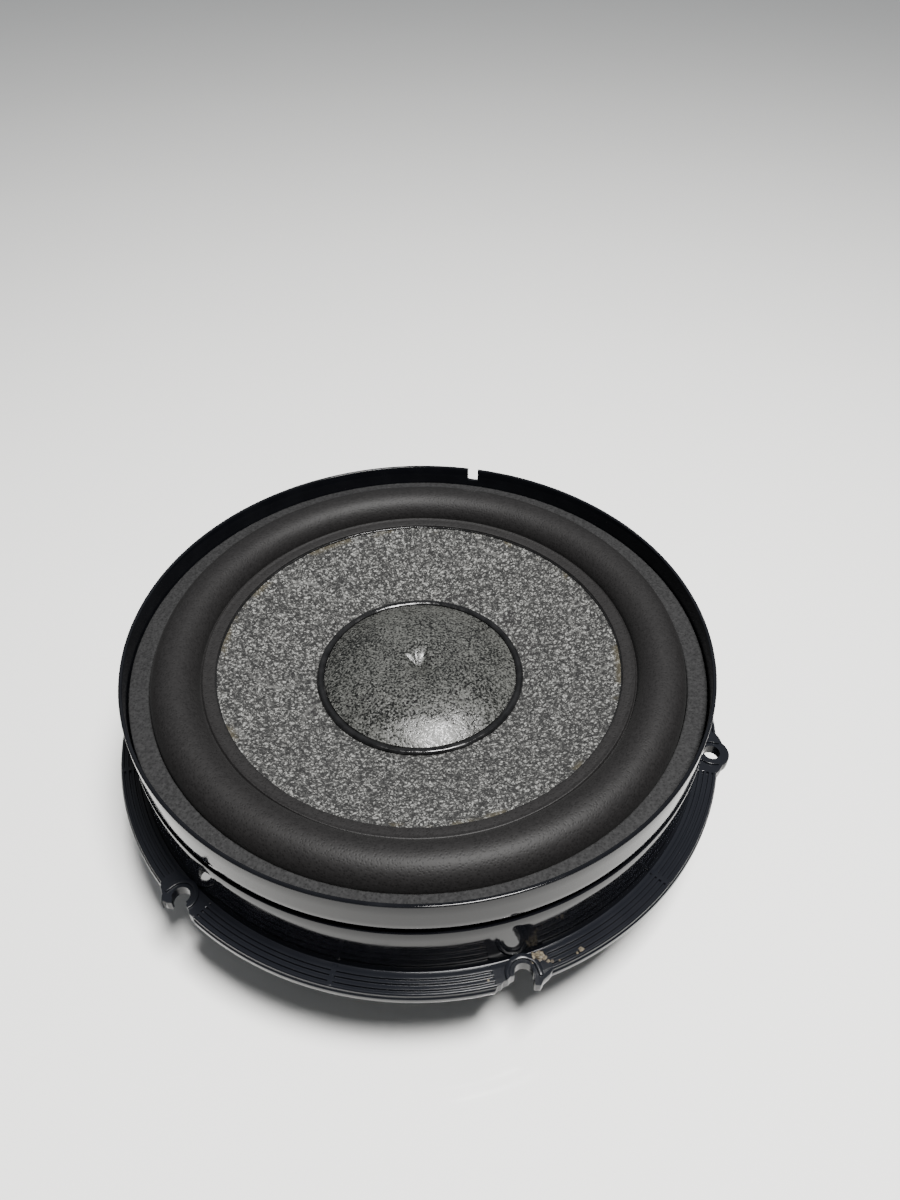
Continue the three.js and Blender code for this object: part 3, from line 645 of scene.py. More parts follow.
def drum_shell():
    inner = DRUM_R - DRUM_WALL
    outline = [
        (FLANGE_R - 1.0, FLANGE_REAR, 0.2), (FLANGE_R, FLANGE_REAR, 0.3), (FLANGE_R, 36.1, 0.25),
        (FLANGE_R - 0.45, 36.5, 0.15), (FLANGE_R - 0.45, 37.6, 0.1), (FLANGE_R - 0.8, FLANGE_TOP, 0.15),
    ]
    bottom = FLANGE_TOP - GROOVE_DEPTH
    for radius, half in GROOVES:
        outline += [(radius + half, FLANGE_TOP, 0.10), (radius + half - 0.04, bottom, 0.08),
                    (radius - half + 0.04, bottom, 0.08), (radius - half, FLANGE_TOP, 0.10)]
    outline += [
        (FLANGE_INNER_R, FLANGE_TOP, 0.15), (FLANGE_INNER_R, 37.2, 0.15), (DRUM_R, 37.2, 0.35),
        (DRUM_R, 39.4, 0), (DRUM_R, 40.4, 0), (DRUM_R, 48.0, 0), (DRUM_R, 56.0, 0),
        (DRUM_R, DRUM_TOP, 0.45),
        (NECK_R, DRUM_TOP, 0.3), (NECK_R, LEDGE_TOP, 0.25), (LEDGE_INNER_R, LEDGE_TOP, 0.3),
        (LEDGE_INNER_R, LEDGE_TOP - 2.2, 0.3), (inner - 1, LEDGE_TOP - 2.2, 0.6),
        (inner, LEDGE_TOP - 3.2, 0.4),
        (inner, 42.0, 0), (inner, 35.0, 0.3), (FLANGE_R - 1.0, 35.0, 0.3),
    ]
    points = rounded([(r, z) for r, z, size in outline], [size for r, z, size in outline], steps=3)

    def fill_groove(r, z, azimuth, index):
        in_groove = 104.0 < r < 108.6 and 36.8 < z < FLANGE_TOP
        if in_groove and interrupted(azimuth):
            return r, FLANGE_TOP
        return r, z

    return lathe("basket_moulding", points, shape=fill_groove, azimuths=drum_azimuths())


def ear_outline(inset=0.0, inner_r=102.4, steps=20):
    """Outline of a lug in [radial, tangential]: straight pad, flared shoulders, round ear."""
    half = LUG_HALF_WIDTH - inset
    radius = EAR_RADIUS - inset
    points = [(inner_r, -half), (FLANGE_R - 0.85 - inset, -half)]
    shoulder = (FLANGE_R + 0.35 - inset, -7.4 + inset * 0.6)
    points.append(shoulder)
    for step in range(steps + 1):
        angle = math.radians(-52 + 104 * step / steps)
        points.append((LUG_HOLE_R + radius * math.cos(angle), radius * math.sin(angle)))
    points += [(shoulder[0], -shoulder[1]), (FLANGE_R - 0.85 - inset, half), (inner_r, half)]
    return points


def stacked(name, layers, place):
    """A solid over outlines with the same number of points at rising heights: [(outline, z), ...]."""
    count = len(layers[0][0])
    vertices = [place @ Vector((x * MM, y * MM, z * MM)) for outline, z in layers for x, y in outline]
    faces = [tuple(range(count)), tuple(range((len(layers) - 1) * count, len(layers) * count))]
    for layer in range(len(layers) - 1):
        low, high = layer * count, (layer + 1) * count
        for index in range(count):
            after = (index + 1) % count
            faces.append((low + index, low + after, high + after, high + index))
    return new_object(name, vertices, faces)


def lug_pad(azimuth):
    return stacked("lug", [
        (ear_outline(0.25), FLANGE_REAR), (ear_outline(0.0), FLANGE_REAR + 0.25),
        (ear_outline(0.0), FLANGE_TOP - 0.3), (ear_outline(0.09), FLANGE_TOP - 0.09),
        (ear_outline(0.3), FLANGE_TOP),
    ], turn_z(azimuth))


def lug_boss(azimuth):
    """Raised horseshoe round the rivet hole, open outwards, on a lower terrace."""
    outer, inner, top = 5.7, 4.1, FLANGE_TOP + 0.75
    wall = []
    for radius, end in ((outer, 1), (inner, -1)):
        for step in range(33):
            angle = math.radians(90 + 180 * step / 32) if end == 1 else math.radians(270 - 180 * step / 32)
            wall.append((LUG_HOLE_R + radius * math.cos(angle), radius * math.sin(angle)))
    wall = wall[:33] + [(LUG_HOLE_R + 2.6, -outer + 0.5), (LUG_HOLE_R + 2.6, -inner)] + wall[33:]
    wall += [(LUG_HOLE_R + 2.6, inner), (LUG_HOLE_R + 2.6, outer - 0.5)]
    return softened(prism("boss", wall, FLANGE_TOP - 0.8, top, turn_z(azimuth)), 0.2, 2)


# What is broken off the two torn lugs, as [radial, tangential] outlines with ragged edges.
FRONT_TEAR = [
    (107.2, 2.0), (108.8, 2.9), (109.9, 2.3), (110.8, 2.4), (111.5, 1.8), (112.1, 2.1), (112.4, 3.0),
    (112.9, 3.4), (116, 4.4), (116, -13.5), (110.2, -12.6), (109.3, -10.8), (109.4, -9.6),
    (108.8, -8.8), (108.9, -7.6), (108.1, -6.6), (108.2, -5.2), (107.6, -4.2), (107.3, -2.5),
]
LEFT_TEAR = [
    (107.8, -1.2), (108.7, -1.9), (109.5, -1.6), (110.0, -0.7), (110.8, -0.4), (111.0, 0.2),
    (111.4, -0.5), (112.0, -1.2), (112.2, -2.2), (112.6, -2.6), (116, -2.6), (116, 11.2),
    (109.6, 9.9), (109.1, 8.6), (109.3, 7.2), (108.6, 6.0), (108.4, 4.6), (107.7, 3.8),
    (107.5, 2.6), (107.2, 1.5),
]

def basket():
    whole = drum_shell()
    inner = DRUM_R - DRUM_WALL
    floor_back = level("top_plate", 1) + 0.3
    tube_top = level("spider", 0) + 0.55
    seat = lathe("seat", rounded([
        (FLOOR_BORE_R, floor_back), (TUBE_R, floor_back), (TUBE_R, tube_top),
        (TUBE_INNER_R, tube_top), (TUBE_INNER_R, FLOOR_TOP), (FLOOR_BORE_R, FLOOR_TOP),
    ], [0.5, 0.8, 0.3, 0.3, 1.0, 0.5]), MEDIUM)
    for azimuth in RIBS:
        low, high = (TUBE_INNER_R - 1, -11, FLOOR_TOP + 3), (TUBE_R + 1, 11, tube_top - 3.5)
        boolean(seat, softened(box_solid("vent", low, high, azimuth), 1.4), "DIFFERENCE")
    boolean(whole, seat, "UNION")
    for azimuth in LUGS:
        spoke = web("spoke", [
            (TUBE_INNER_R + 0.6, floor_back + 0.1), (74, 26.6), (inner + 0.4, 35.1),
            (inner + 1.2, 35.1), (inner + 1.2, 44), (84, 40.5), (TUBE_INNER_R + 0.6, 37.5),
        ], 12, azimuth)
        boolean(whole, softened(spoke, 0.7), "UNION")
        boolean(whole, lug_pad(azimuth), "UNION")
        boolean(whole, lug_boss(azimuth), "UNION")
    for azimuth in RIBS:
        low, high = (102.4, -RIB_HALF_WIDTH, 36.4), (109.1, RIB_HALF_WIDTH, FLANGE_TOP)
        boolean(whole, softened(box_solid("rib", low, high, azimuth), 0.12, 2), "UNION")
    pad = box_solid("pad", (-13.5, 80, 35.0), (13.5, 99.7, 37.5))
    boolean(whole, softened(pad, 0.8), "UNION")
    for azimuth in LUGS:
        channel = web("channel", [
            (61.5, 22.3), (97.0, 22.3), (97.0, 39.8), (84, 38.3), (61.5, 35.6),
        ], 7.6, azimuth)
        boolean(whole, softened(channel, 0.5, 2), "DIFFERENCE")
        drill(whole, LUG_HOLE_RADIUS, 30, 45, polar(LUG_HOLE_R, azimuth), 48)
    seal_channel = lathe("seal", [(99.9, 30), (104.4, 30), (104.4, 35), (99.9, 35)], 180)
    boolean(whole, seal_channel, "DIFFERENCE")
    for points, azimuth in ((FRONT_TEAR, FRONT_LUG), (LEFT_TEAR, LEFT_LUG)):
        boolean(whole, prism("tear", points, 33, 41, turn_z(azimuth)), "DIFFERENCE")
    for azimuth in SCREW_AZIMUTHS:
        drill(whole, SCREW_HOLE_R, 20, 32, polar(SCREW_R, azimuth))
    for side in (-1, 1):
        drill(whole, TERMINAL_SCREW_HOLE_R, 30, 40, terminal_screw_place(side))
    finish_mesh(whole.data, 28)
    take_over(whole, "basket", "drum_plastic")

def front_ring():
    wall = DRUM_R - 1.3
    foot_top = GASKET_BACK - 0.3
    outline = rounded([
        (GASKET_INNER_R + 0.2, RING_FOOT), (DRUM_R, RING_FOOT), (DRUM_R, 66.0), (DRUM_R, 71.0),
        (DRUM_R, COLLAR_TOP), (wall, COLLAR_TOP), (wall, 71.0), (wall, foot_top),
        (GASKET_INNER_R + 0.2, foot_top),
    ], [0.3, 0.5, 0, 0, 0.55, 0.45, 0, 0.3, 0.3], steps=4)
    made = lathe("collar_ring", outline)
    notch = softened(box_solid("notch", (wall - 2.5, -NOTCH_WIDTH / 2, COLLAR_TOP - NOTCH_DEPTH),
                               (DRUM_R + 2, NOTCH_WIDTH / 2, COLLAR_TOP + 3), NOTCH_AZIMUTH), 0.6, 3)
    boolean(made, notch, "DIFFERENCE")
    finish_mesh(made.data, 30)
    take_over(made, "front_ring", "drum_plastic")


def wobble(size, amount, seed=0.0):
    """A shape function that moves each point of a turned piece in and out by smooth noise, in mm."""
    def shape(r, z, azimuth, index):
        spot = polar(r, azimuth, z) / (size * MM) + Vector((seed, seed, seed))
        return r + amount * noise.noise(spot), z + amount * noise.noise(spot + Vector((7.3, 1.1, 4.9)))
    return shape


def subdivided(points, longest):
    """The same closed outline with long sides split."""
    out = []
    for first, last in zip(points, points[1:] + points[:1]):
        first, last = Vector(first), Vector(last)
        parts = max(1, math.ceil((last - first).length / longest))
        out += [tuple(first.lerp(last, part / parts)) for part in range(parts)]
    return out

def gasket():
    outline = rounded([
        (GASKET_INNER_R, GASKET_BACK), (GASKET_R, GASKET_BACK), (GASKET_R, GASKET_FACE),
        (GASKET_INNER_R, GASKET_FACE),
    ], [0.2, 0.2, 0.55, 0.6], steps=4)
    made = lathe("gasket_strip", subdivided(outline, 0.55), 900, shape=wobble(1.3, 0.10))
    take_over(made, "foam_gasket", "gasket_foam")


def rear_seal():
    outline = rounded([(100.2, 32.8), (104.1, 32.8), (104.1, 34.7), (100.2, 34.7)], 0.35, steps=3)
    made = lathe("seal_strip", subdivided(outline, 0.7), 600, shape=wobble(1.6, 0.09, 3.0))
    take_over(made, "rear_seal", "seal_foam")


# --- moving parts --------------------------------------------------------------------------------
def radial_blend(made):
    """Bakes the piece's place into its mesh."""
    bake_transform(made)


def surround():
    land = level("surround", 0)
    inner_land = CONE_EDGE_Z + 0.3
    thin = ROLL_RADIUS - ROLL_THICK
    outline = [
        (ROLL_CENTRE_R + thin, land), (SURROUND_OUTER_R, land), (SURROUND_OUTER_R, land + LAND_THICK),
        (ROLL_CENTRE_R + ROLL_RADIUS, land + LAND_THICK),
    ]
    outline += arc(ROLL_CENTRE_R, ROLL_CENTRE_Z, ROLL_RADIUS, 0, 177, 44)
    # the roll dips into a narrow pressed groove, then the flat land lies over the cone's edge
    outline += [
        (76.36, 67.02), (76.2, 67.05), (76.05, 67.2), (75.9, 67.55), (75.72, 67.85), (75.45, 67.95),
        (75.1, 67.85), (74.7, 67.68), (74.2, 67.6), (CONE_SIGHT_R + 0.5, inner_land + 0.95),
        (CONE_SIGHT_R + 0.12, inner_land + 0.8), (CONE_SIGHT_R, inner_land + 0.5),
        (CONE_SIGHT_R, inner_land),
    ]
    outline += arc(ROLL_CENTRE_R, ROLL_CENTRE_Z, thin, 180, 0, 30)
    made = lathe("foam_surround", outline, 480, shape=wobble(9, 0.06, 1.7))
    take_over(made, "surround", "roll_foam", None)
    radial_blend(made)

def cone_height(radius):
    slope = (CONE_EDGE_Z - CAP_RING_Z) / (CONE_SIGHT_R - CAP_RING_R)
    return CAP_RING_Z + (radius - CAP_RING_R) * slope


def cone():
    front = [(CONE_R, CONE_EDGE_Z), (CONE_SIGHT_R + 0.4, CONE_EDGE_Z)]
    front += [(r, cone_height(r)) for r in np.linspace(CONE_SIGHT_R - 0.3, CONE_NECK_R, 60)]
    neck_outer = CONE_NECK_R + CONE_THICK
    rear = [(CONE_NECK_R, level("cone", 0)), (neck_outer, level("cone", 0))]
    back_radii = np.linspace(neck_outer + 0.5, CONE_SIGHT_R - 0.5, 30)
    rear += [(r, cone_height(r) - CONE_THICK) for r in back_radii]
    rear += [(CONE_R, CONE_EDGE_Z - CONE_THICK)]
    made = lathe("felt_cone", front + rear, 420, shape=wobble(2.6, 0.10, 5.1))
    take_over(made, "cone", "cone_felt", "diaphragm")
    # the line of black glue where the surround's land ends on the felt
    bead = arc(CONE_SIGHT_R - 0.05, CONE_EDGE_Z + 0.18, 0.36, 0, 337.5, 15)
    made = lathe("cone_edge_glue", bead, FINE, shape=wobble(6, 0.16, 8.2))
    take_over(made, None, "black_adhesive", "diaphragm")

def cap_ring():
    outline = rounded([
        (CAP_RING_INNER_R, CAP_RING_Z - 0.1), (CAP_RING_R, CAP_RING_Z + 0.35),
        (CAP_RING_R, CAP_RING_Z + 0.7), (36.6, CAP_RING_Z + 1.35), (35.5, CAP_RING_Z + 1.4),
        (CAP_RING_INNER_R, CAP_RING_Z + 0.9),
    ], [0.1, 0.1, 0.3, 0.5, 0.5, 0.2], steps=3)
    made = lathe("cap_glue_ring", outline, FINE, shape=wobble(7, 0.16, 2.4))
    take_over(made, "dust_cap_ring", "black_adhesive", "diaphragm")


def cap_height(radius):
    """Front face of the dust cap: a dome that steepens to its rim, with a sharp dimple in the middle."""
    share = radius / CAP_RIM_R
    dome = CAP_CREST_Z - (CAP_CREST_Z - CAP_RIM_Z) * (0.33 * share ** 2 + 0.67 * share ** 3.6)
    funnel = 4.7 * math.exp(-radius / 2.9) * (1 + 0.15 * radius)
    return dome - funnel

def cap():
    radii = list(np.linspace(CAP_RIM_R, 12.2, 52)) + list(np.linspace(12.0, 0.25, 56))
    tip = cap_height(0.2)
    front = [(r, cap_height(r)) for r in radii] + [(0, tip)]
    back_radii = np.linspace(0.8, CAP_RIM_R - 0.5, 34)
    rear = [(0, tip - CAP_THICK)] + [(r, cap_height(r) - CAP_THICK) for r in back_radii]

    def pressed(r, z, azimuth, index):
        """Soft lumps of the pressed fibre, and folds that run down into the dimple."""
        spot = polar(r, azimuth) / MM
        lumps = 0.13 * noise.noise(spot / 5.5) + 0.03 * noise.noise(spot / 1.6 + Vector((3, 0, 0)))
        angle = math.radians(azimuth)
        folds = noise.noise(Vector((math.cos(angle) * 1.9, math.sin(angle) * 1.9, r / 9)))
        near = math.exp(-((r - 3.6) / 3.2) ** 2)
        return r, z + (lumps + 0.75 * near * folds) * min(1.0, (CAP_RIM_R - r) / 2 + 0.15)

    made = lathe("dimpled_cap", rear + front, 288, closed=False, shape=pressed)
    take_over(made, "dust_cap", "cap_fibre", "diaphragm")


def voice_coil():
    low, high = FORMER_Z
    sleeve = [(FORMER_R, low), (FORMER_OUTER_R, low), (FORMER_OUTER_R, high), (FORMER_R, high)]
    former = lathe("former_sleeve", rounded(sleeve, 0.1), MEDIUM)
    take_over(former, "coil_former", "former_film", "diaphragm")
    low, high = WINDING_Z
    steps = WINDING_TURNS * 4
    outline = [(CONE_NECK_R, high), (CONE_NECK_R, low)]
    for step in range(steps + 1):
        bulge = 0.09 * (1 - abs(math.sin(math.pi * step / 4)))
        outline.append((WINDING_R - bulge, low + (high - low) * step / steps))
    winding = lathe("copper_winding", outline, 128)
    take_over(winding, "coil_winding", "coil_wire", "diaphragm")
    bead = rounded([(19.7, 46.6), (20.9, 46.6), (22.1, 47.4), (21.1, 48.7), (19.7, 48.7)], 0.4)
    glue = lathe("neck_glue", bead, MEDIUM, shape=wobble(4, 0.12, 6.6))
    take_over(glue, "neck_bead", "black_adhesive", "diaphragm")

def spider():
    middle_z = (level("spider", 0) + level("spider", 1)) / 2
    inner, outer, thick, waves, height = 23.5, 53.5, 0.7, 4, 1.2
    line = [(19.75, middle_z), (21.5, middle_z)]
    for step in range(97):
        r = inner + (outer - inner) * step / 96
        swing = math.sin(math.tau * waves * step / 96 + math.pi)
        line.append((r, middle_z + height * swing))
    line += [(55.6, middle_z), (57.75, middle_z)]
    outline = [(r, z - thick / 2) for r, z in line] + [(r, z + thick / 2) for r, z in reversed(line)]
    made = lathe("woven_spider", outline, 240)
    take_over(made, "spider", "spider_cloth", None)
    radial_blend(made)


# --- motor ---------------------------------------------------------------------------------------
def motor():
    pole_top = level("yoke", 1)
    yoke = lathe("pole_yoke", rounded([
        (0, 0), (YOKE_R - 0.8, 0), (YOKE_R, 0.8), (YOKE_R, YOKE_THICK), (POLE_R, YOKE_THICK),
        (POLE_R, pole_top - 0.8), (POLE_R - 0.6, pole_top), (0, pole_top),
    ], [0, 0.3, 0.3, 0.4, 0.6, 0.3, 0.3, 0], closed=False), MEDIUM, closed=False)
    for azimuth in (30, 150, 270):  # punch marks left by staking
        dimple = lathe("dimple", [(0, -2), (2.2, -2), (2.2, 0.0), (0, 0.55)], 32, closed=False)
        dimple.data.transform(Matrix.Translation(polar(26, azimuth)))
        boolean(yoke, dimple, "DIFFERENCE")
    centre = lathe("centre", [(0, -2), (4.0, -2), (4.0, 0.5), (3.4, 1.1), (0, 1.1)], 64, closed=False)
    boolean(yoke, centre, "DIFFERENCE")
    finish_mesh(yoke.data, 30)
    take_over(yoke, "yoke", "plated_steel")
    low, high = level("magnet_ring", 0), level("magnet_ring", 1)
    section = rounded([
        (MAGNET_BORE_R, low), (MAGNET_R - 1, low), (MAGNET_R, low + 1), (MAGNET_R, high - 1),
        (MAGNET_R - 1, high), (MAGNET_BORE_R, high),
    ], [0.2, 0.25, 0.25, 0.25, 0.25, 0.2])
    magnet = lathe("ferrite_ring", subdivided(section, 1.2), 300, shape=wobble(2.4, 0.07, 9.3))
    take_over(magnet, "magnet_ring", "ferrite")
    low, high = level("top_plate", 0), level("top_plate", 1)
    section = [(PLATE_BORE_R, low), (YOKE_R, low), (YOKE_R, high), (PLATE_BORE_R, high)]
    plate = lathe("front_plate", rounded(section, 0.4), MEDIUM)
    for azimuth in SCREW_AZIMUTHS:
        drill(plate, SCREW_HOLE_R, high - 4, high + 1, polar(SCREW_R, azimuth))
    finish_mesh(plate.data, 30)
    take_over(plate, "top_plate", "plated_steel")

def screw(name, node, place, head_r, shank_r):
    """A pan-head screw with a cross recess, in the place of its CAD node."""
    low, high = level(node, 0), level(node, 1)
    seat = high - 1.9
    made = lathe(name, rounded([
        (0, low), (shank_r * 0.6, low), (shank_r, low + 0.8), (shank_r, seat), (head_r, seat),
        (head_r, seat + 0.9), (head_r * 0.72, high), (0, high),
    ], [0, 0.1, 0.2, 0, 0.15, 0.4, 0.6, 0], closed=False), 48, closed=False)
    half = head_r * 0.52
    for azimuth in (20, 110):
        slot = box_solid("recess", (-half, -0.42, high - 1.1), (half, 0.42, high + 1), azimuth)
        boolean(made, softened(slot, 0.12, 2), "DIFFERENCE")
    finish_mesh(made.data, 30)
    made.data.transform(Matrix.Translation(place))
    take_over(made, node, "plated_steel")

def terminal():
    low, high = level("terminal_block", 0), level("terminal_block", 1)
    edge = TERMINAL_HALF_WIDTH
    housing = softened(box_solid("connector_housing", (-edge, 82, low), (edge, 97, high)), 0.7)
    cuts = [softened(box_solid("socket", (-8.2, 86, 22.5), (8.2, 99, 32.5)), 0.5, 2),
            box_solid("keyway", (-1.2, 88, 31.5), (1.2, 99, 33.5))]
    for side in (-1, 1):
        x, flank = side * BLADE_X, side * edge
        cuts.append(box_solid("slot", (x - 2.7, 81, 26.8), (x + 2.7, 87, 28.2)))
        waist = box_solid("waist", (flank - 1.6, 84, low - 1), (flank + 1.6, 95, 29.5))
        cuts.append(softened(waist, 0.6, 2))
    for piece in cuts:
        boolean(housing, piece, "DIFFERENCE")
    for side in (-1, 1):
        drill(housing, TERMINAL_SCREW_HOLE_R, 28, 36, terminal_screw_place(side))
    finish_mesh(housing.data, 30)
    take_over(housing, "terminal_block", "connector_plastic")
    for number, side in ((1, -1), (2, 1)):
        x = side * BLADE_X
        tongue = softened(prism(f"blade_contact_{number}", [
            (x - 2.4, 76.6), (x + 2.4, 76.6), (x + 2.4, 93.7), (x + 1.7, 94.5), (x - 1.7, 94.5),
            (x - 2.4, 93.7),
        ], 27.1, 27.9), 0.15, 2)
        tab = softened(box_solid("tab", (x - 1.6, 76.6, 27.3), (x + 1.6, 77.5, 28.9)), 0.2, 2)
        boolean(tongue, tab, "UNION")
        finish_mesh(tongue.data, 30)
        take_over(tongue, f"terminal_blade_{number}", "tinned_brass")
        place = terminal_screw_place(side)
        screw(f"terminal_screw_head_{number}", f"terminal_screw_{number}", place, 2.6, 1.3)

def smooth_path(points, count):
    """Catmull-Rom points and directions along a path, in mm."""
    control = [Vector(p) for p in points]
    control = [2 * control[0] - control[1]] + control + [2 * control[-1] - control[-2]]
    out = []
    for step in range(count):
        t = step / (count - 1) * (len(points) - 1)
        k = min(int(t), len(points) - 2)
        t -= k
        a, b, c, d = control[k:k + 4]
        square = (2 * a - 5 * b + 4 * c - d) * t ** 2
        cube = (3 * b - a - 3 * c + d) * t ** 3
        out.append(0.5 * (2 * b + (c - a) * t + square + cube))
    return out


def braid(name, points, radius, strands=7, twist=0.28, steps=150, sides=7):
    """A lead of twisted strands round a core, each a closed tube."""
    path = smooth_path(points, steps)
    vertices, faces = [], []
    up = Vector((1, 0, 0))
    frames = []
    for index, point in enumerate(path):
        ahead = (path[min(index + 1, steps - 1)] - path[max(index - 1, 0)]).normalized()
        side = up.cross(ahead).normalized()
        up = ahead.cross(side).normalized()
        frames.append((point, side, up))
    for strand in range(strands + 1):
        core = strand == strands
        thick = radius * 0.62 if core else radius * 0.36
        away = 0.0 if core else radius - thick
        first = len(vertices)
        for index, (point, side, top) in enumerate(frames):
            angle = math.tau * strand / strands + index * twist
            centre = point + (side * math.cos(angle) + top * math.sin(angle)) * away
            for corner in range(sides):
                turn = math.tau * corner / sides
                vertices.append((centre + (side * math.cos(turn) + top * math.sin(turn)) * thick) * MM)
        for index in range(steps - 1):
            for corner in range(sides):
                after = (corner + 1) % sides
                here, there = first + index * sides, first + (index + 1) * sides
                faces.append((here + corner, here + after, there + after, there + corner))
        faces.append(tuple(first + c for c in range(sides)))
        faces.append(tuple(first + (steps - 1) * sides + c for c in range(sides)))
    return new_object(name, vertices, faces, 60)


LEAD_ROUTE = ((4, 76.2, 29), (4, 75.6, 36), (4.4, 71.5, 45.5), (5, 63, 50), (6, 53, 50.6), (7, 44, 50.6),
              (7.6, 38.5, 52.4))


def leads():
    for number, side in ((1, -1), (2, 1)):
        lead = braid(f"braided_lead_{number}", [(side * x, y, z) for x, y, z in LEAD_ROUTE], 0.8)
        take_over(lead, f"tinsel_lead_{number}", "tinsel", None)
        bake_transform(lead)
        node = f"lead_dab_{number}"
        low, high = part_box(node)
        middle, half = (low + high) / 2, (high - low) / 2
        dab = bpy.data.meshes.new(f"lead_glue_{number}")
        work = bmesh.new()
        bmesh.ops.create_icosphere(work, subdivisions=4, radius=1.0)
        for vertex in work.verts:
            lump = 1 + 0.16 * noise.noise(vertex.co * 2.1 + Vector((number, 0, 0)))
            scaled = Vector([a * b for a, b in zip(vertex.co, half)])
            vertex.co = scaled * (0.97 * lump) + middle
        work.to_mesh(dab)
        work.free()
        finish_mesh(dab, 60)
        made = bpy.data.objects.new(dab.name, dab)
        bpy.context.scene.collection.objects.link(made)
        take_over(made, node, "black_adhesive", "diaphragm")


# Old glue by the torn front lug: [radial, tangential, size, height] of each crumb.
CRUMBS = (
    (104.3, 5.2, 1.7, 0.8), (103.7, 6.8, 1.1, 0.5), (105.3, 4.2, 0.8, 0.4), (105.1, 7.6, 0.8, 0.3),
    (105.9, 19.2, 0.7, 0.3), (106.6, 17.6, 0.35, 0.15), (107.2, 11.6, 0.30, 0.12),
    (106.8, 9.4, 0.45, 0.2), (106.4, 8.2, 0.5, 0.2), (106.5, -10.8, 0.3, 0.12),
)

def glue_crumbs():
    """A lump of old glue at the boss and flakes along the grooves."""
    dice = random.Random(5)
    for number, (u, v, size, height) in enumerate(CRUMBS, 1):
        work = bmesh.new()
        bmesh.ops.create_icosphere(work, subdivisions=4, radius=1.0)
        shift = Vector((dice.uniform(-50, 50), dice.uniform(-50, 50), 0))
        for vertex in work.verts:
            way = vertex.co.normalized()
            swell = 1 + 0.75 * noise.noise(way * 1.7 + shift) + 0.35 * noise.noise(way * 4.5 + shift)
            vertex.co = Vector((way.x * size, way.y * size * 0.85, max(way.z, -0.25) * height)) * swell
        mesh = bpy.data.meshes.new(f"glue_crumb_{number}")
        work.to_mesh(mesh)
        work.free()
        spot = turn_z(FRONT_LUG) @ (Vector((u, v, FLANGE_TOP + 0.03)) * MM)
        turn = Matrix.Rotation(dice.uniform(0, 6.28), 4, "Z")
        mesh.transform(Matrix.Translation(spot) @ turn @ Matrix.Scale(MM, 4))
        mesh.materials.append(finishes["dried_glue"])
        crumb = bpy.data.objects.new(mesh.name, mesh)
        bpy.context.scene.collection.objects.link(crumb)
        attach(crumb, "chassis")

basket()
front_ring()
gasket()
rear_seal()
surround()
cone()
cap_ring()
cap()
voice_coil()
spider()
motor()
for number, azimuth in enumerate(SCREW_AZIMUTHS, 1):
    screw(f"motor_screw_head_{number}", f"motor_screw_{number}", polar(SCREW_R, azimuth), 3.0, 1.5)
terminal()
leads()
glue_crumbs()


# --- floor, light and camera ---------------------------------------------------------------------
def floor():
    p = Paint("table_top")
    cloud = p.noise(300, 2)
    colour = p.mix(cloud, (0.80, 0.80, 0.785), (0.83, 0.828, 0.815))
    gloss = p.ramp(p.noise(90, 2), 0.3, 0.7, 0.06, 0.09)
    p.done(colour, gloss, p.bump(p.noise(0.8, 2), 0.002), specular_ior_level=0.5)
    mesh = bpy.data.meshes.new("table_top")
    far = 6.0
    corners = [(-far, -far, 0), (far, -far, 0), (far, far, 0), (-far, far, 0)]
    mesh.from_pydata(corners, [], [(0, 1, 2, 3)])
    mesh.materials.append(p.material)
    made = bpy.data.objects.new("table_top", mesh)
    bpy.context.scene.collection.objects.link(made)


def softbox(name, place, aim, width, depth, power, tint):
    light = bpy.data.lights.new(name, "AREA")
    light.shape = "RECTANGLE"
    light.size, light.size_y = width, depth
    light.energy = power
    light.color = tint
    made = bpy.data.objects.new(name, light)
    made.location = place
    made.rotation_mode = "QUATERNION"
    made.rotation_quaternion = (Vector(aim) - Vector(place)).to_track_quat("-Z", "Y")
    bpy.context.scene.collection.objects.link(made)


KEY_PLACE, KEY_SIZE, KEY_POWER = (0.145, -0.18, 0.93), 0.25, 31  # metres and watts
FILL_PLACE, FILL_SIZE, FILL_POWER = (0.0, 1.9, 2.2), (2.4, 1.0), 2.5
SKY_FADE = (-0.8, 0.6, 0.14, 0.36)  # the sky's strength rises from the front to the back

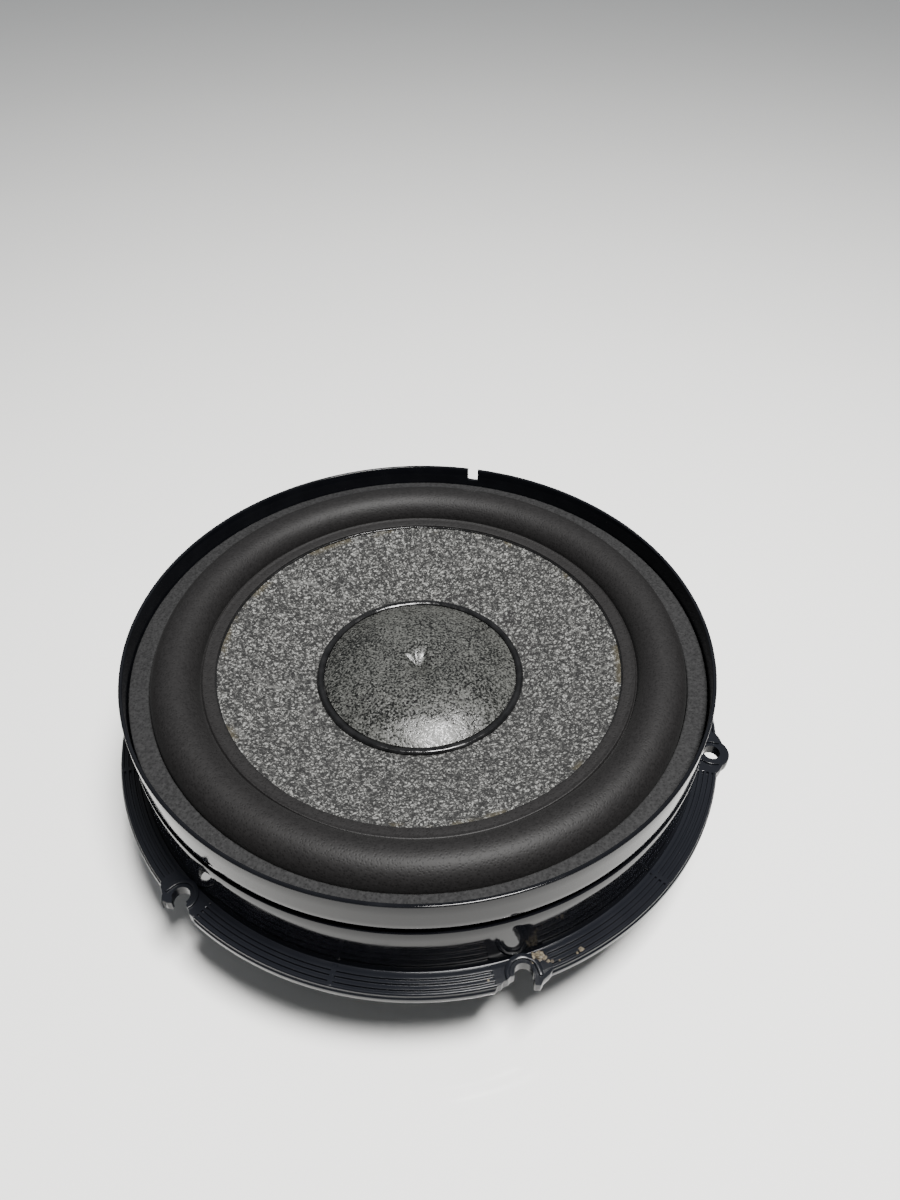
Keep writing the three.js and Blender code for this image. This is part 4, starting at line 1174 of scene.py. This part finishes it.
def light():
    world = bpy.data.worlds.new("studio")
    bpy.context.scene.world = world
    world.use_nodes = True
    nodes, links = world.node_tree.nodes, world.node_tree.links
    direction = nodes.new("ShaderNodeTexCoord")
    parts = nodes.new("ShaderNodeSeparateXYZ")
    links.new(direction.outputs["Generated"], parts.inputs[0])
    fade = nodes.new("ShaderNodeMapRange")
    fade.interpolation_type = "SMOOTHSTEP"
    links.new(parts.outputs[1], fade.inputs["Value"])
    for socket, number in zip(("From Min", "From Max", "To Min", "To Max"), SKY_FADE):
        fade.inputs[socket].default_value = number
    background = nodes["Background"]
    background.inputs["Color"].default_value = (0.94, 0.97, 1.0, 1.0)
    links.new(fade.outputs["Result"], background.inputs["Strength"])
    softbox("overhead", KEY_PLACE, (0, 0, 0.03), KEY_SIZE, KEY_SIZE, KEY_POWER, (1.0, 0.99, 0.975))
    softbox("backdrop", FILL_PLACE, (0, 0, 0.05), *FILL_SIZE, FILL_POWER, (0.95, 0.97, 1.0))


CAMERA_DISTANCE = 0.3322  # from the middle of the gasket's face
CAMERA_ELEVATION = 46.85  # degrees above the gasket's face
AIM_ASIDE, AIM_ABOVE = 1.848, 3.170  # degrees the camera looks beside and above that middle
CAMERA_ROLL = -1.390
LENS = 28.07


def camera():
    target = Vector((0, 0, GASKET_FACE * MM))
    rise = math.radians(CAMERA_ELEVATION)
    place = target + Vector((0, -math.cos(rise), math.sin(rise))) * CAMERA_DISTANCE
    ahead = (target - place).normalized()
    right = Vector((1, 0, 0))
    straight = Matrix((right, ahead.cross(right), ahead))
    aim = Vector((-math.tan(math.radians(AIM_ASIDE)), math.tan(math.radians(AIM_ABOVE)), 1)).normalized()
    tilt = Vector((0, 0, 1)).rotation_difference(aim).to_matrix()
    axes = tilt @ Matrix.Rotation(math.radians(CAMERA_ROLL), 3, "Z") @ straight
    data = bpy.data.cameras.new("camera")
    data.lens = LENS
    data.sensor_width = 36
    data.clip_start, data.clip_end = 0.02, 50
    made = bpy.data.objects.new("camera", data)
    bpy.context.scene.collection.objects.link(made)
    facing = Matrix((axes[0], -axes[1], -axes[2])).transposed().to_4x4()
    made.matrix_world = Matrix.Translation(place) @ facing
    bpy.context.scene.camera = made


floor()
light()
camera()
